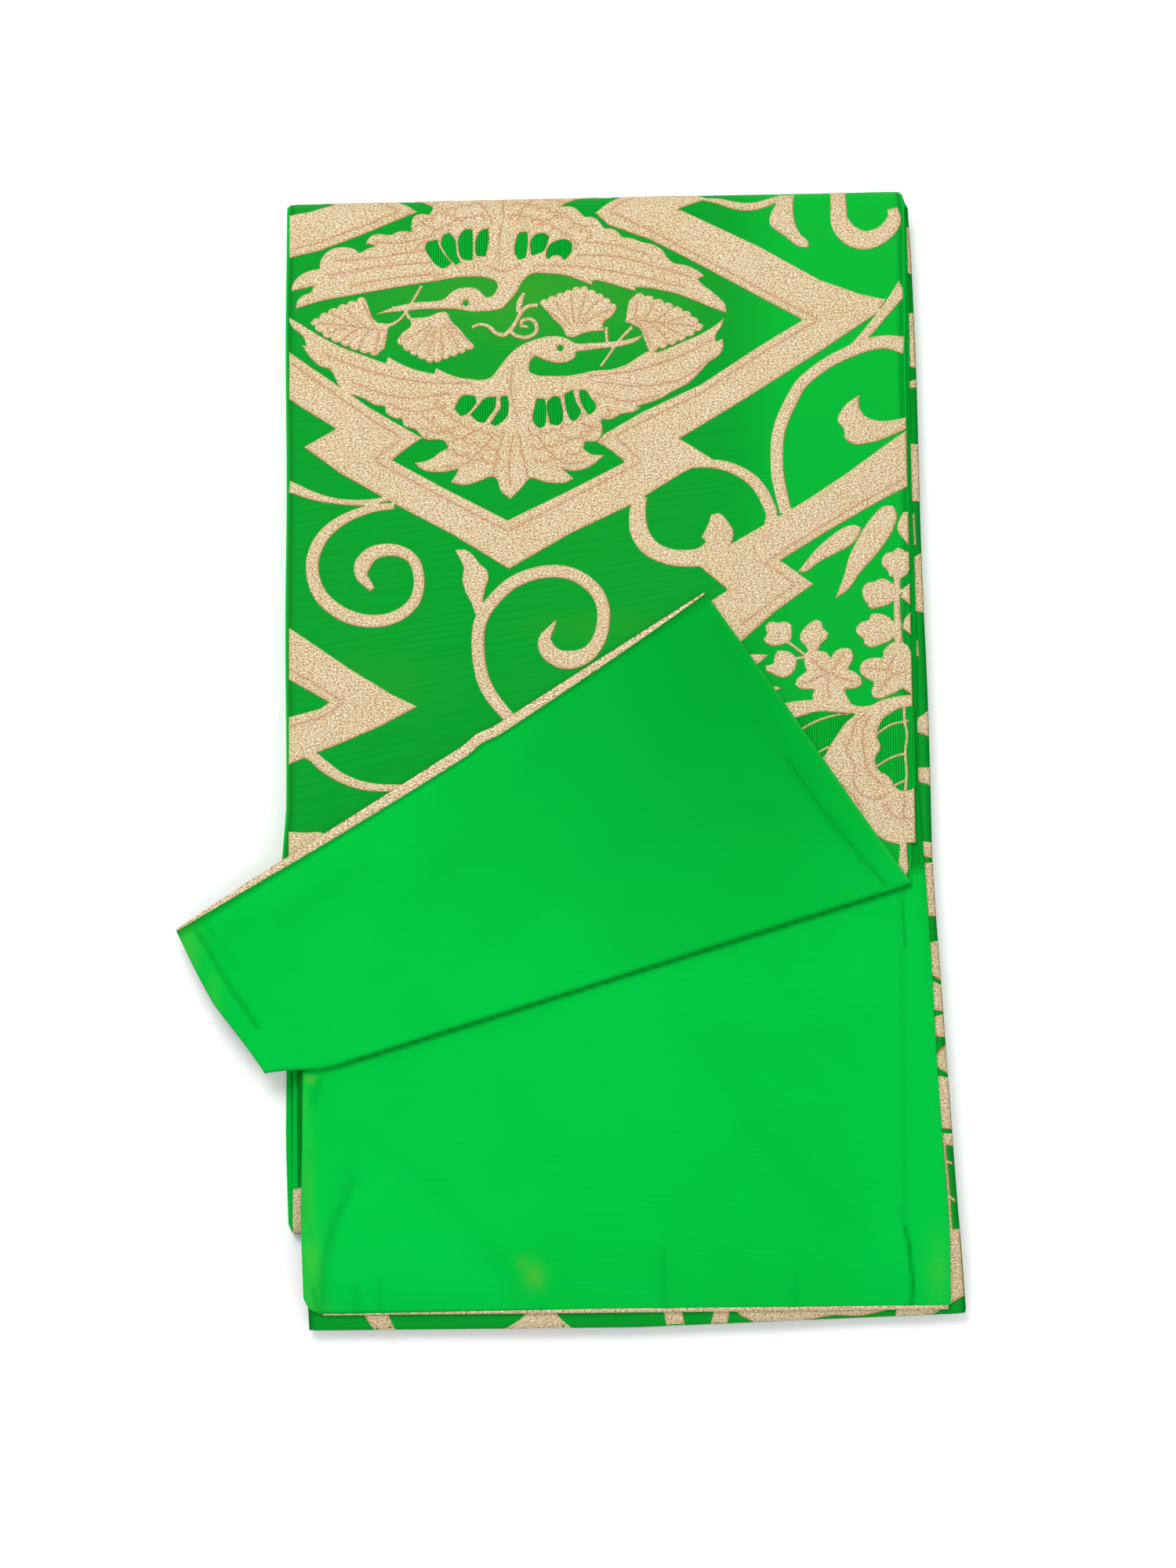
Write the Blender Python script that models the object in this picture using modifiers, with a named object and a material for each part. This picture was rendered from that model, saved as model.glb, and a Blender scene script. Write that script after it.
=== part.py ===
"""A fukuro obi, the formal sash of a kimono, folded flat for keeping.

The sash is one long double cloth: a brocade front and a plain back (the lining), sewn together
along both sides. It is folded in eight stretches that lie on each other, and the free end on
top is turned over on the slant, so that its plain back shows.

Lengths are in millimetres until a mesh is made. +X runs across the sash, +Y towards the far
folds and +Z up. The origin is on the surface below, in the middle of the outline.
"""

import math

import bmesh
import bpy
import numpy as np

MM = 0.001

# The double cloth
WALL = 1.0
GAP = 0.3
PLY = 2 * WALL + GAP
PITCH = PLY + GAP
CLOTH_OFFSET = (WALL + GAP) / 2

# Where the folds lie, as the middles of their turns
FAR_FOLD_Y = 269.7
UPPER_NEAR_FOLD_Y = -279.5
LOWER_NEAR_FOLD_Y = -231.0
PANEL_END_Y = -274.3

# The sides of each stretch as (y, x) points, from the far fold to the near end. The second
# stretch is the panel that shows below the turned end, and its left side ends in a round corner.
TOP_LEFT = [(270, -137), (-30, -137), (-165, -146.8), (-253, -141)]
TOP_RIGHT = [(270, 173), (97, 172), (-69, 169), (-244, 167.3)]
PANEL_CORNER = [(-266, -128.6), (-271, -126), (-274, -120)]
PANEL_LEFT = [(270, -137), (-30, -136), (-160, -128.5), (-226, -130), *PANEL_CORNER]
PANEL_RIGHT = [(270, 174.3), (-20, 174.3), (-154, 180.1), (-229, 183.6), (-274, 184.2)]
THIRD_LEFT = [(270, -137), (-30, -135), (-280, -126)]
THIRD_RIGHT = [(270, 176), (-58, 180), (-154, 184), (-229, 188.5), (-280, 191.5)]
FOURTH_LEFT = [(270, -136), (-30, -134), (-280, -126)]
FOURTH_RIGHT = [(270, 175), (-58, 179), (-154, 183), (-229, 187.5), (-280, 190)]
LOWER_RIGHT = [(270, 172), (-236, 172)]
SIDES = {
    1: (TOP_LEFT, TOP_RIGHT),
    2: (PANEL_LEFT, PANEL_RIGHT),
    3: (THIRD_LEFT, THIRD_RIGHT),
    4: (FOURTH_LEFT, FOURTH_RIGHT),
    5: ([(270, -136), (-236, -133)], LOWER_RIGHT),
    6: ([(270, -136), (-236, -135)], LOWER_RIGHT),
    7: ([(270, -137), (-236, -137)], LOWER_RIGHT),
    8: ([(270, -137), (-190, -138.5), (-236, -137)], LOWER_RIGHT),
}

# The turned end: its fold line runs from the right side down to the left one
FOLD_RIGHT = np.array([169.0, -68.9])
FOLD_ANGLE = math.radians(16.85)
END_LEFT_Y = -252.8
END_RIGHT_Y = -243.8
FOLD_CORNER_X = -112.0
FOLD_CORNER_LIFT = 6.5
FOLD_CORNER_REACH = 35.0
FOLD_CORNER_DEPTH = 45.0

# How the stack departs from square and flat
FAR_SLANT = 0.0116
NEAR_SLANT = 5.0
NEAR_SLANT_Y = -200.0
NEAR_SLANT_REACH = 75.0
OVERHANG_DROP = 8.0
OVERHANG_START_X = -147.0
OVERHANG_REACH = 44.0
NEAR_DROOP = 5.0
NEAR_DROOP_Y = -237.0
NEAR_DROOP_REACH = 50.0

# The gold bands woven across the two ends
END_BAND_LEAST = 0.9
END_BAND_BULGE = 4.6
PANEL_BAND = 1.5

# Meshes
TOP_COLUMNS = 10
FLAT_COLUMNS = 2
BAND_COLUMNS = 24
TURN_STEPS = 8
TOP_STEPS = 10
RUN_PLACES = [-276, -272, -268, -263, -258, -253, -248, -243, -238, -215, -154, -95, -30, 90, 210]
FLAP_STEPS = 6
CORE_LEFT_X = -128.0
CORE_RIGHT_X = 165.0
CORE_FAR_Y = 266.0
UPPER_CORE_NEAR_Y = -195.0
CORE_SHRINK = 0.3


def level(stretch):
    """The height of the middle of a stretch, counted from 1 on top to 8 at the bottom."""
    return PLY / 2 + PITCH * (8 - stretch)


def smooth(value):
    """0 below 0, 1 above 1, and a smooth rise between them."""
    clamped = min(max(value, 0.0), 1.0)
    return clamped * clamped * (3 - 2 * clamped)


def side_x(stations, y):
    ys, xs = zip(*reversed(stations))
    return float(np.interp(y, ys, xs))


def across(stretch, u, y_left, y_right):
    """The flat place of a point at the share u of the way from the left side to the right one."""
    left, right = SIDES[stretch]
    start = np.array([side_x(left, y_left), y_left])
    end = np.array([side_x(right, y_right), y_right])
    return start + u * (end - start)


def settled(stretch, u, x, y, z):
    """Moves a point of the squarely folded stack to where the slack cloth lets it lie."""
    far_share = smooth(y / FAR_FOLD_Y)
    y += FAR_SLANT * x * far_share
    if stretch in (2, 3, 4):
        z -= NEAR_DROOP * smooth((NEAR_DROOP_Y - y) / NEAR_DROOP_REACH)
    if stretch in (3, 4):
        near_share = smooth((NEAR_SLANT_Y - y) / NEAR_SLANT_REACH)
        y += NEAR_SLANT * max(2 * u - 1, 0.0) * near_share
    return x, y, z


def run_row(stretch, offset, y):
    """A row across a flat stretch. The offset is how far the cloth is above the stretch's middle."""

    def row(u):
        x, _ = across(stretch, u, y, y)
        return settled(stretch, u, x, y, level(stretch) + offset)

    return row


def turn_row(upper, lower, end, radius_offset, angle):
    """A row on the turn from one stretch down to another. The end is 1 at the far folds, -1 at the near."""
    radius = (level(upper) - level(lower)) / 2 + radius_offset
    middle_z = (level(upper) + level(lower)) / 2
    if end > 0:
        middle_y = FAR_FOLD_Y
    elif upper == 3:
        middle_y = UPPER_NEAR_FOLD_Y
    else:
        middle_y = LOWER_NEAR_FOLD_Y

    def row(u):
        share = angle / math.pi
        x_upper, _ = across(upper, u, middle_y, middle_y)
        x_lower, _ = across(lower, u, middle_y, middle_y)
        x = x_upper + share * (x_lower - x_upper)
        y = middle_y + end * radius * math.sin(angle)
        return settled(upper if end < 0 else 1, u, x, y, middle_z + radius * math.cos(angle))

    return row


def turned_row(offset, y_left, y_right):
    """A row of the top stretch, bent over the slanting fold line where it runs past it."""
    bend = PITCH / 2
    edge_offset = bend + PLY / 2
    along = np.array([math.cos(FOLD_ANGLE), math.sin(FOLD_ANGLE)])
    out = np.array([along[1], -along[0]])
    tangent = FOLD_RIGHT - edge_offset * out
    middle_z = level(1) + bend
    radius = bend - offset

    def row(u):
        flat = across(1, u, y_left, y_right)
        past = float((flat - tangent) @ out)
        if past <= 0:
            place = flat
            z = level(1) + offset
        elif past < math.pi * bend:
            angle = past / bend
            place = flat + (radius * math.sin(angle) - past) * out
            z = middle_z - radius * math.cos(angle)
        else:
            place = flat - (2 * past - math.pi * bend) * out
            z = middle_z + radius
        x, y = map(float, place)
        near_fold = math.exp(-(float((place - tangent) @ out) / FOLD_CORNER_DEPTH) ** 2)
        y += FOLD_CORNER_LIFT * smooth((FOLD_CORNER_X - x) / FOLD_CORNER_REACH) * near_fold
        beyond = min(max((OVERHANG_START_X - x) / OVERHANG_REACH, 0.0), 1.0)
        z -= OVERHANG_DROP * beyond**2
        return settled(1, u, x, y, z)

    return row


def run_rows(stretch, offset, y_from, y_to):
    """The rows of a flat stretch. They share their places, so that no cloth cuts the next one's corners."""
    low, high = sorted((y_from, y_to))
    between = [y for y in RUN_PLACES if low + 1.0 < y < high - 1.0]
    if y_from > y_to:
        between.reverse()
    return [run_row(stretch, offset, y) for y in (y_from, *between, y_to)]


def turn_rows(upper, lower, end, radius_offset, downwards=True):
    """The rows of a half turn, without its first and last, which belong to the runs."""
    angles = np.linspace(0.0, math.pi, TURN_STEPS + 1)[1:-1]
    if not downwards:
        angles = angles[::-1]
    return [turn_row(upper, lower, end, radius_offset, angle) for angle in angles]


def fold_line_y(past):
    """Where a line parallel to the slanting fold, and this far past it, meets the left and right sides."""
    bend = PITCH / 2
    rise = (bend + PLY / 2 - past) / math.cos(FOLD_ANGLE)
    fall = (FOLD_RIGHT[0] - side_x(TOP_LEFT, -165)) * math.tan(FOLD_ANGLE)
    return FOLD_RIGHT[1] - fall + rise, FOLD_RIGHT[1] + rise


def band_width(u):
    """How far the woven gold end reaches in from the end of the sash, most of it in the middle."""
    return END_BAND_LEAST + END_BAND_BULGE * math.sin(math.pi * u) ** 0.8


def top_rows(offset):
    """The top stretch from its turned end to the far fold."""
    arc = math.pi * PITCH / 2
    past_left, past_right = fold_line_y(arc)
    shares = np.linspace(0.0, 1.0, FLAP_STEPS + 1)[1:-1]
    rows = [end_row(offset)]
    for share in shares:
        y_left = END_LEFT_Y + share * (past_left - END_LEFT_Y)
        y_right = END_RIGHT_Y + share * (past_right - END_RIGHT_Y)
        rows.append(turned_row(offset, y_left, y_right))
    for past in np.linspace(arc, 0.0, TURN_STEPS + 1):
        rows.append(turned_row(offset, *fold_line_y(past)))
    near_left, near_right = fold_line_y(0.0)
    for share in np.linspace(0.0, 1.0, TOP_STEPS + 1)[1:]:
        y_left = near_left + share * (FAR_FOLD_Y - near_left)
        y_right = near_right + share * (FAR_FOLD_Y - near_right)
        rows.append(turned_row(offset, y_left, y_right))
    return rows


def end_row(offset):
    """The last row of a cloth at the turned end, set back by the gold band and a gap."""

    def row(u):
        inset = band_width(u) + GAP
        return turned_row(offset, END_LEFT_Y + inset, END_RIGHT_Y + inset)(u)

    return row


def clear_scene():
    for obj in list(bpy.data.objects):
        bpy.data.objects.remove(obj, do_unlink=True)


def material(name, colour, roughness, metallic=0.0):
    made = bpy.data.materials.new(name)
    made.use_nodes = True
    shader = made.node_tree.nodes["Principled BSDF"]
    shader.inputs["Base Color"].default_value = (*colour, 1.0)
    shader.inputs["Roughness"].default_value = roughness
    shader.inputs["Metallic"].default_value = metallic
    return made


def sheet(name, rows, collection, finish, columns=FLAT_COLUMNS, thickness=WALL):
    """A grid with one line of points on each row, given its thickness by Solidify."""
    shape = bmesh.new()
    bmesh.ops.create_grid(shape, x_segments=columns, y_segments=len(rows) - 1, size=0.5)
    for point in shape.verts:
        row = rows[round((point.co.y + 0.5) * (len(rows) - 1))]
        point.co = [value * MM for value in row(point.co.x + 0.5)]
    mesh = bpy.data.meshes.new(name)
    shape.to_mesh(mesh)
    shape.free()
    mesh.materials.append(finish)
    mesh.shade_smooth()
    obj = bpy.data.objects.new(name, mesh)
    collection.objects.link(obj)
    wall = obj.modifiers.new("Cloth", "SOLIDIFY")
    wall.thickness = thickness * MM
    wall.offset = 0.0
    wall.use_even_offset = True
    return obj


def block(name, low, high, collection):
    """A plain block between two corners, kept as a helper of a Boolean."""
    bpy.ops.mesh.primitive_cube_add(size=1.0)
    obj = bpy.context.object
    obj.name = name
    for link in list(obj.users_collection):
        link.objects.unlink(obj)
    collection.objects.link(obj)
    low, high = np.array(low) * MM, np.array(high) * MM
    for point in obj.data.vertices:
        point.co = np.array(point.co) * (high - low) + (low + high) / 2
    return as_helper(obj)


def as_helper(obj):
    obj.hide_render = True
    obj.display_type = "WIRE"
    return obj


def unite(obj, helper):
    joined = obj.modifiers.new("With " + helper.name, "BOOLEAN")
    joined.operation = "UNION"
    joined.solver = "EXACT"
    joined.object = helper


def brocade_top(collection, finish):
    """The front cloth of the top stretch: under the turned end, along the top and round the far roll."""
    rows = top_rows(CLOTH_OFFSET)
    rows += turn_rows(1, 8, 1, CLOTH_OFFSET)
    rows.append(turn_row(1, 8, 1, CLOTH_OFFSET, math.pi))
    return sheet("brocade_top", rows, collection, finish, columns=TOP_COLUMNS)


def lining_top(collection, finish):
    """The back cloth of the top stretch. It is outermost on the turned end and shows there."""
    rows = top_rows(-CLOTH_OFFSET)
    rows += turn_rows(1, 8, 1, -CLOTH_OFFSET)
    rows.append(turn_row(1, 8, 1, -CLOTH_OFFSET, math.pi))
    return sheet("lining_top", rows, collection, finish, columns=TOP_COLUMNS)


def end_band_top(collection, finish):
    """The gold band that closes the turned end, widest in the middle and worn away at its corners."""

    def row_at(share):
        def row(u):
            inset = band_width(u) * share
            return turned_row(0.0, END_LEFT_Y + inset, END_RIGHT_Y + inset)(u)

        return row

    rows = [row_at(share) for share in (0.0, 0.5, 1.0)]
    return sheet("end_band_top", rows, collection, finish, columns=BAND_COLUMNS, thickness=PLY)


def panel(name, offset, collection, finish):
    """One cloth of the second stretch, which ends in the open on the near side."""
    start = FAR_FOLD_Y - GAP
    end = PANEL_END_Y + PANEL_BAND + GAP
    return sheet(name, run_rows(2, offset, start, end), collection, finish)


def end_band_panel(collection, finish):
    """The gold band across the end of the second stretch."""
    rows = run_rows(2, 0.0, PANEL_END_Y + PANEL_BAND, PANEL_END_Y)
    return sheet("end_band_panel", rows, collection, finish, thickness=PLY)


def brocade_third(collection, finish):
    """The front cloth of the third and fourth stretches, round their near fold."""
    start = FAR_FOLD_Y - GAP
    rows = run_rows(3, CLOTH_OFFSET, start, UPPER_NEAR_FOLD_Y)
    rows += turn_rows(3, 4, -1, CLOTH_OFFSET)
    rows += run_rows(4, -CLOTH_OFFSET, UPPER_NEAR_FOLD_Y, start)
    return sheet("brocade_third", rows, collection, finish)


def brocade_underside(collection, finish):
    """The front cloth of the fifth and the bottom stretch, round their near fold."""
    start = FAR_FOLD_Y - GAP
    rows = run_rows(5, CLOTH_OFFSET, start, LOWER_NEAR_FOLD_Y)
    rows += turn_rows(5, 8, -1, CLOTH_OFFSET)
    rows += run_rows(8, -CLOTH_OFFSET, LOWER_NEAR_FOLD_Y, start)
    return sheet("brocade_underside", rows, collection, finish)


def hidden_lining(collection, finish):
    """The back cloth where it is out of sight, one strip from the bottom stretch to the second."""
    far, upper, lower = FAR_FOLD_Y, UPPER_NEAR_FOLD_Y, LOWER_NEAR_FOLD_Y
    rows = run_rows(8, CLOTH_OFFSET, far - GAP, lower)
    rows += turn_rows(5, 8, -1, -CLOTH_OFFSET, downwards=False)
    rows += run_rows(5, -CLOTH_OFFSET, lower, far)
    rows += turn_rows(4, 5, 1, CLOTH_OFFSET, downwards=False)
    rows += run_rows(4, CLOTH_OFFSET, far, upper)
    rows += turn_rows(3, 4, -1, -CLOTH_OFFSET, downwards=False)
    rows += run_rows(3, -CLOTH_OFFSET, upper, far)
    rows += turn_rows(3, 6, 1, -CLOTH_OFFSET)
    rows += run_rows(6, CLOTH_OFFSET, far, lower)
    rows += turn_rows(6, 7, -1, CLOTH_OFFSET)
    rows += run_rows(7, -CLOTH_OFFSET, lower, far)
    rows += turn_rows(2, 7, 1, CLOTH_OFFSET, downwards=False)
    rows.append(turn_row(2, 7, 1, CLOTH_OFFSET, 0.0))
    return sheet("inner_layers", rows, collection, finish)


def hidden_brocade(collection, finish):
    """The front cloth where it is out of sight, between the third stretch and the second."""
    far, lower = FAR_FOLD_Y, LOWER_NEAR_FOLD_Y
    rows = [turn_row(3, 6, 1, CLOTH_OFFSET, 0.0)]
    rows += turn_rows(3, 6, 1, CLOTH_OFFSET)
    rows += run_rows(6, -CLOTH_OFFSET, far, lower)
    rows += turn_rows(6, 7, -1, -CLOTH_OFFSET)
    rows += run_rows(7, CLOTH_OFFSET, lower, far)
    rows += turn_rows(2, 7, 1, -CLOTH_OFFSET, downwards=False)
    rows.append(turn_row(2, 7, 1, -CLOTH_OFFSET, 0.0))
    return as_helper(sheet("hidden_brocade", rows, collection, finish))


def cores(collection):
    """Fills between the hidden layers, set back from their sides so that the layers show there."""
    left, right = CORE_LEFT_X, CORE_RIGHT_X
    lower_bottom = level(8) + CLOTH_OFFSET - WALL / 2 + CORE_SHRINK
    lower_top = level(5) - CLOTH_OFFSET + WALL / 2 - CORE_SHRINK
    upper_bottom = level(4) + CLOTH_OFFSET - WALL / 2 + CORE_SHRINK
    upper_top = level(3) - CLOTH_OFFSET + WALL / 2 - CORE_SHRINK
    lower_low = (left, LOWER_NEAR_FOLD_Y, lower_bottom)
    upper_low = (left, UPPER_CORE_NEAR_Y, upper_bottom)
    return [
        block("lower_core", lower_low, (right, CORE_FAR_Y, lower_top), collection),
        block("upper_core", upper_low, (right, CORE_FAR_Y, upper_top), collection),
    ]


def far_core(collection):
    """A half round bar that fills the nest of turns inside the far roll."""
    radius = (level(2) - level(7)) / 2 + CLOTH_OFFSET
    middle_z = (level(2) + level(7)) / 2
    left, right = CORE_LEFT_X, CORE_RIGHT_X
    middle_x = (left + right) / 2
    bpy.ops.mesh.primitive_cylinder_add(
        vertices=32,
        radius=radius * MM,
        depth=(right - left) * MM,
        location=(middle_x * MM, (FAR_FOLD_Y + FAR_SLANT * middle_x) * MM, middle_z * MM),
        rotation=(0.0, math.pi / 2, math.atan(FAR_SLANT)),
    )
    obj = bpy.context.object
    obj.name = "far_core"
    shape = bmesh.new()
    shape.from_mesh(obj.data)
    bmesh.ops.bisect_plane(
        shape,
        geom=shape.verts[:] + shape.edges[:] + shape.faces[:],
        plane_co=(0.0, GAP * MM, 0.0),
        plane_no=(0.0, 1.0, 0.0),
        clear_inner=True,
    )
    bmesh.ops.holes_fill(shape, edges=[edge for edge in shape.edges if edge.is_boundary])
    bmesh.ops.recalc_face_normals(shape, faces=shape.faces)
    shape.to_mesh(obj.data)
    shape.free()
    for link in list(obj.users_collection):
        link.objects.unlink(obj)
    collection.objects.link(obj)
    return as_helper(obj)


def inner_layers(collection, helpers, finish):
    """All hidden layers as one solid: two strips of cloth, joined by cores and open at their sides."""
    strip = hidden_lining(collection, finish)
    unite(strip, hidden_brocade(helpers, finish))
    for core in cores(helpers):
        unite(strip, core)
    unite(strip, far_core(helpers))
    return strip


def new_collection(name):
    made = bpy.data.collections.new(name)
    bpy.context.scene.collection.children.link(made)
    return made


def main():
    clear_scene()
    parts = new_collection("fukuro_obi")
    helpers = new_collection("helpers")
    brocade = material("green_brocade", (0.02, 0.36, 0.05), 0.45)
    lining = material("green_lining", (0.01, 0.52, 0.07), 0.5)
    gold = material("gold_thread", (0.78, 0.62, 0.36), 0.4, metallic=0.3)
    brocade_top(parts, brocade)
    lining_top(parts, lining)
    end_band_top(parts, gold)
    panel("brocade_panel", -CLOTH_OFFSET, parts, brocade)
    panel("lining_panel", CLOTH_OFFSET, parts, lining)
    end_band_panel(parts, gold)
    brocade_third(parts, brocade)
    brocade_underside(parts, brocade)
    inner_layers(parts, helpers, lining)


main()
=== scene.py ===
# %% [markdown]
# # A fukuro obi, folded flat
# This is the formal sash of a kimono: a strip of green silk brocade as long as a room, with a
# plain green silk of the same size sewn behind it. It is folded in eight stretches for keeping,
# and its free end is turned over on the slant, so that the plain back shows. The CAD model gives
# the folds as simple solids. This script makes the cloth itself: thin sheets that run round the
# same folds, gold motifs that stand proud of the ground, and the finish of each silk.

# %% Load the frame
import math

import bmesh
import bpy
import numpy as np
from mathutils import Matrix, Vector, geometry


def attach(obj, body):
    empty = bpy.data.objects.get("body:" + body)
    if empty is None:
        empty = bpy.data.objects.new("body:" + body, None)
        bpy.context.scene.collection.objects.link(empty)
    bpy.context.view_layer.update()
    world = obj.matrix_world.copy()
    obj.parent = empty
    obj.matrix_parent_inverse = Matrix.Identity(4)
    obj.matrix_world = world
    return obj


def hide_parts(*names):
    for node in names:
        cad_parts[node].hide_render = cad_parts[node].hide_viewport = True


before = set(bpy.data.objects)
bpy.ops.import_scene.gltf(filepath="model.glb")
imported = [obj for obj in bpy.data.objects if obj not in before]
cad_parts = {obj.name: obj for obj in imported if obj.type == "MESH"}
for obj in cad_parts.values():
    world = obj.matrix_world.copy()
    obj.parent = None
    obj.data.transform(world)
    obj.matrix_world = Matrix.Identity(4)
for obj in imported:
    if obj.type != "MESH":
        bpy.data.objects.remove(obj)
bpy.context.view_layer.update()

MM = 0.001

# %% [markdown]
# ## How the cloth runs
# Each stretch of the sash lies at its own level, and a half turn joins it to the next one. A
# simulation could drop a strip this long into folds, but it would not land where the frame has
# them. So the folds are worked out: a stretch is a flat sheet between its two sides, and a turn
# is half a cylinder whose radius is half the distance between the two levels. The numbers are
# those of the CAD model, in millimetres.

# %% The sizes of the folded stack
PLY = 2.3
PITCH = 2.6
FAR_FOLD_Y = 269.7
UPPER_NEAR_FOLD_Y = -279.5
LOWER_NEAR_FOLD_Y = -231.0
PANEL_END_Y = -274.3

TOP_LEFT = [(270, -137), (-30, -137), (-165, -146.8), (-209, -146.6), (-253, -141)]
TOP_RIGHT = [(270, 173), (97, 172), (-69, 169), (-244, 167.3)]
PANEL_CORNER = [(-266, -128.6), (-271, -126), (-274, -120)]
PANEL_LEFT = [(270, -137), (-30, -136), (-160, -128.5), (-226, -130), *PANEL_CORNER]
PANEL_RIGHT = [(270, 174.3), (-20, 174.3), (-154, 180.1), (-229, 183.6), (-274, 184.2)]
THIRD_LEFT = [(270, -137), (-30, -135), (-280, -126)]
THIRD_RIGHT = [(270, 176), (-58, 180), (-154, 184), (-229, 188.5), (-280, 191.5)]
FOURTH_LEFT = [(270, -136), (-30, -134), (-280, -126)]
FOURTH_RIGHT = [(270, 175), (-58, 179), (-154, 183), (-229, 187.5), (-280, 190)]
LOWER_RIGHT = [(270, 172), (-236, 172)]
SIDES = {
    1: (TOP_LEFT, TOP_RIGHT),
    2: (PANEL_LEFT, PANEL_RIGHT),
    3: (THIRD_LEFT, THIRD_RIGHT),
    4: (FOURTH_LEFT, FOURTH_RIGHT),
    5: ([(270, -136), (-236, -133)], LOWER_RIGHT),
    6: ([(270, -136), (-236, -135)], LOWER_RIGHT),
    7: ([(270, -137), (-236, -137)], LOWER_RIGHT),
    8: ([(270, -137), (-190, -138.5), (-236, -137)], LOWER_RIGHT),
}


def level(stretch):
    """The height of the middle of a stretch, counted from 1 on top to 8 at the bottom."""
    return PLY / 2 + PITCH * (8 - stretch)


def smooth(value):
    """0 below 0, 1 above 1, and between them 3 v squared less 2 v cubed."""
    clamped = np.clip(value, 0.0, 1.0)
    return clamped * clamped * (3 - 2 * clamped)


def side_x(stretch, side, y):
    """A side's x by straight lines between its stations, plus a slow wave, for no edge is ruled."""
    stations = np.array(SIDES[stretch][side], float)[::-1]
    wave = 0.3 * np.sin(np.asarray(y) / (21.0 + 2 * stretch) + 2.1 * stretch + side)
    return np.interp(y, stations[:, 0], stations[:, 1]) + wave


print("levels of the stretches:", [round(level(k), 2) for k in range(1, 9)])

# %% [markdown]
# ## How the stack settles
# A stack of silk is never square. The far folds lie a little askew, the upper pack droops where
# it runs past the lower one, and slow swells run through all the layers. Each of these is one
# small shift of a point, and every sheet gets the same shifts, so that no layer cuts the next.

# %% Small shifts of the stack
FAR_SLANT = 0.0116
NEAR_SLANT, NEAR_SLANT_Y, NEAR_SLANT_REACH = 5.0, -200.0, 75.0
NEAR_DROOP, NEAR_DROOP_Y, NEAR_DROOP_REACH = 5.0, -237.0, 50.0
STACK_TOP = level(1) + PLY / 2


def swell(x, y):
    """Two slow waves that cross, under half a millimetre high."""
    crossing = 0.4 * np.sin(x / 33 + 0.6) * np.sin(y / 47 + 1.1)
    return crossing + 0.22 * np.sin(x / 19 - y / 31 + 0.4)


def droop(y):
    """How far the upper pack hangs down past the lower one."""
    return NEAR_DROOP * smooth((NEAR_DROOP_Y - y) / NEAR_DROOP_REACH)


def settled(stretch, u, x, y, z):
    """Far slant, near droop and near slant where the stretch has them, and the swell by height."""
    shifted = y + FAR_SLANT * x * smooth(y / FAR_FOLD_Y)
    z = z + swell(x, y) * np.clip(z / STACK_TOP, 0.0, 1.2)
    if stretch in (2, 3, 4):
        z = z - droop(shifted)
    if stretch in (3, 4):
        near = smooth((NEAR_SLANT_Y - shifted) / NEAR_SLANT_REACH)
        shifted = shifted + NEAR_SLANT * np.maximum(2 * u - 1, 0.0) * near
    return np.stack(np.broadcast_arrays(x, shifted, z), axis=-1)


print("swell at the middle:", round(float(swell(0.0, 0.0)), 2), "mm")

# %% [markdown]
# ## Two cloths in each ply
# A ply is the brocade and its back, sewn together along both sides. In the field they lie apart,
# and near a side they close on each other and meet in the seam. So the height of a cloth above
# the middle of its ply is one value in the field and a smaller one at the seam, with a smooth
# step between them. The back cloth is cut a hair wider, and rolls out past the brocade. Only on
# the third and fourth stretch is the brocade the outer one, as the margin on the right shows it.

# %% Runs and turns
SHELL = 0.8
FIELD_OFFSET = 0.7
SEAM_OFFSET = 0.42
SEAM_REACH = 5.0
CLOTH_WIDTH = 310.0
BACK, FRONT = -1, 1
ROLLED_IN, ROLLED_OUT, THIRD_OUT = 1.3, 0.1, -0.5
THIRD_OUT_UNTIL, THIRD_OUT_FADE = FAR_FOLD_Y - 24.0, 20.0


def roll(stretch, kind, y):
    """How far a cloth stays inside the seam. The back rolls out past the brocade, and the other way
    about on the third and fourth stretch, except beside the far roll."""
    if stretch in (3, 4) and kind == FRONT:
        return THIRD_OUT + (ROLLED_OUT - THIRD_OUT) * smooth((y - THIRD_OUT_UNTIL) / THIRD_OUT_FADE)
    if stretch in (3, 4):
        return ROLLED_IN
    return ROLLED_OUT if kind == BACK else ROLLED_IN


def columns(count):
    """Shares from 0 to 1 across the cloth, closer together near the two seams."""
    even = np.linspace(0.0, 1.0, count)
    return even - 0.08 * np.sin(4 * np.pi * even) / 2


def cloth_offset(above, u):
    """The height above the middle of the ply: seam value plus a smooth step over the first few mm."""
    from_seam = np.minimum(u, 1 - u) * CLOTH_WIDTH
    return above * (SEAM_OFFSET + (FIELD_OFFSET - SEAM_OFFSET) * smooth(from_seam / SEAM_REACH))


def across(stretch, u, y, kind):
    """x at the share u between the two sides, which the brocade keeps a little inside."""
    left = side_x(stretch, 0, y) + roll(stretch, kind, y)
    right = side_x(stretch, 1, y) - roll(stretch, kind, y)
    return left + u * (right - left)


def run_at(stretch, above, kind, u, y):
    """A flat stretch on given rows of y, each running across at the level of the stretch."""
    z = level(stretch) + cloth_offset(above, u)[None, :]
    return settled(stretch, u[None, :], across(stretch, u[None, :], y, kind), y, z)


def run(stretch, above, kind, u, y_from, y_to, step):
    """A flat stretch with its rows at even steps of y."""
    rows = max(2, math.ceil(abs(y_to - y_from) / step) + 1)
    return run_at(stretch, above, kind, u, np.linspace(y_from, y_to, rows)[:, None])


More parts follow.
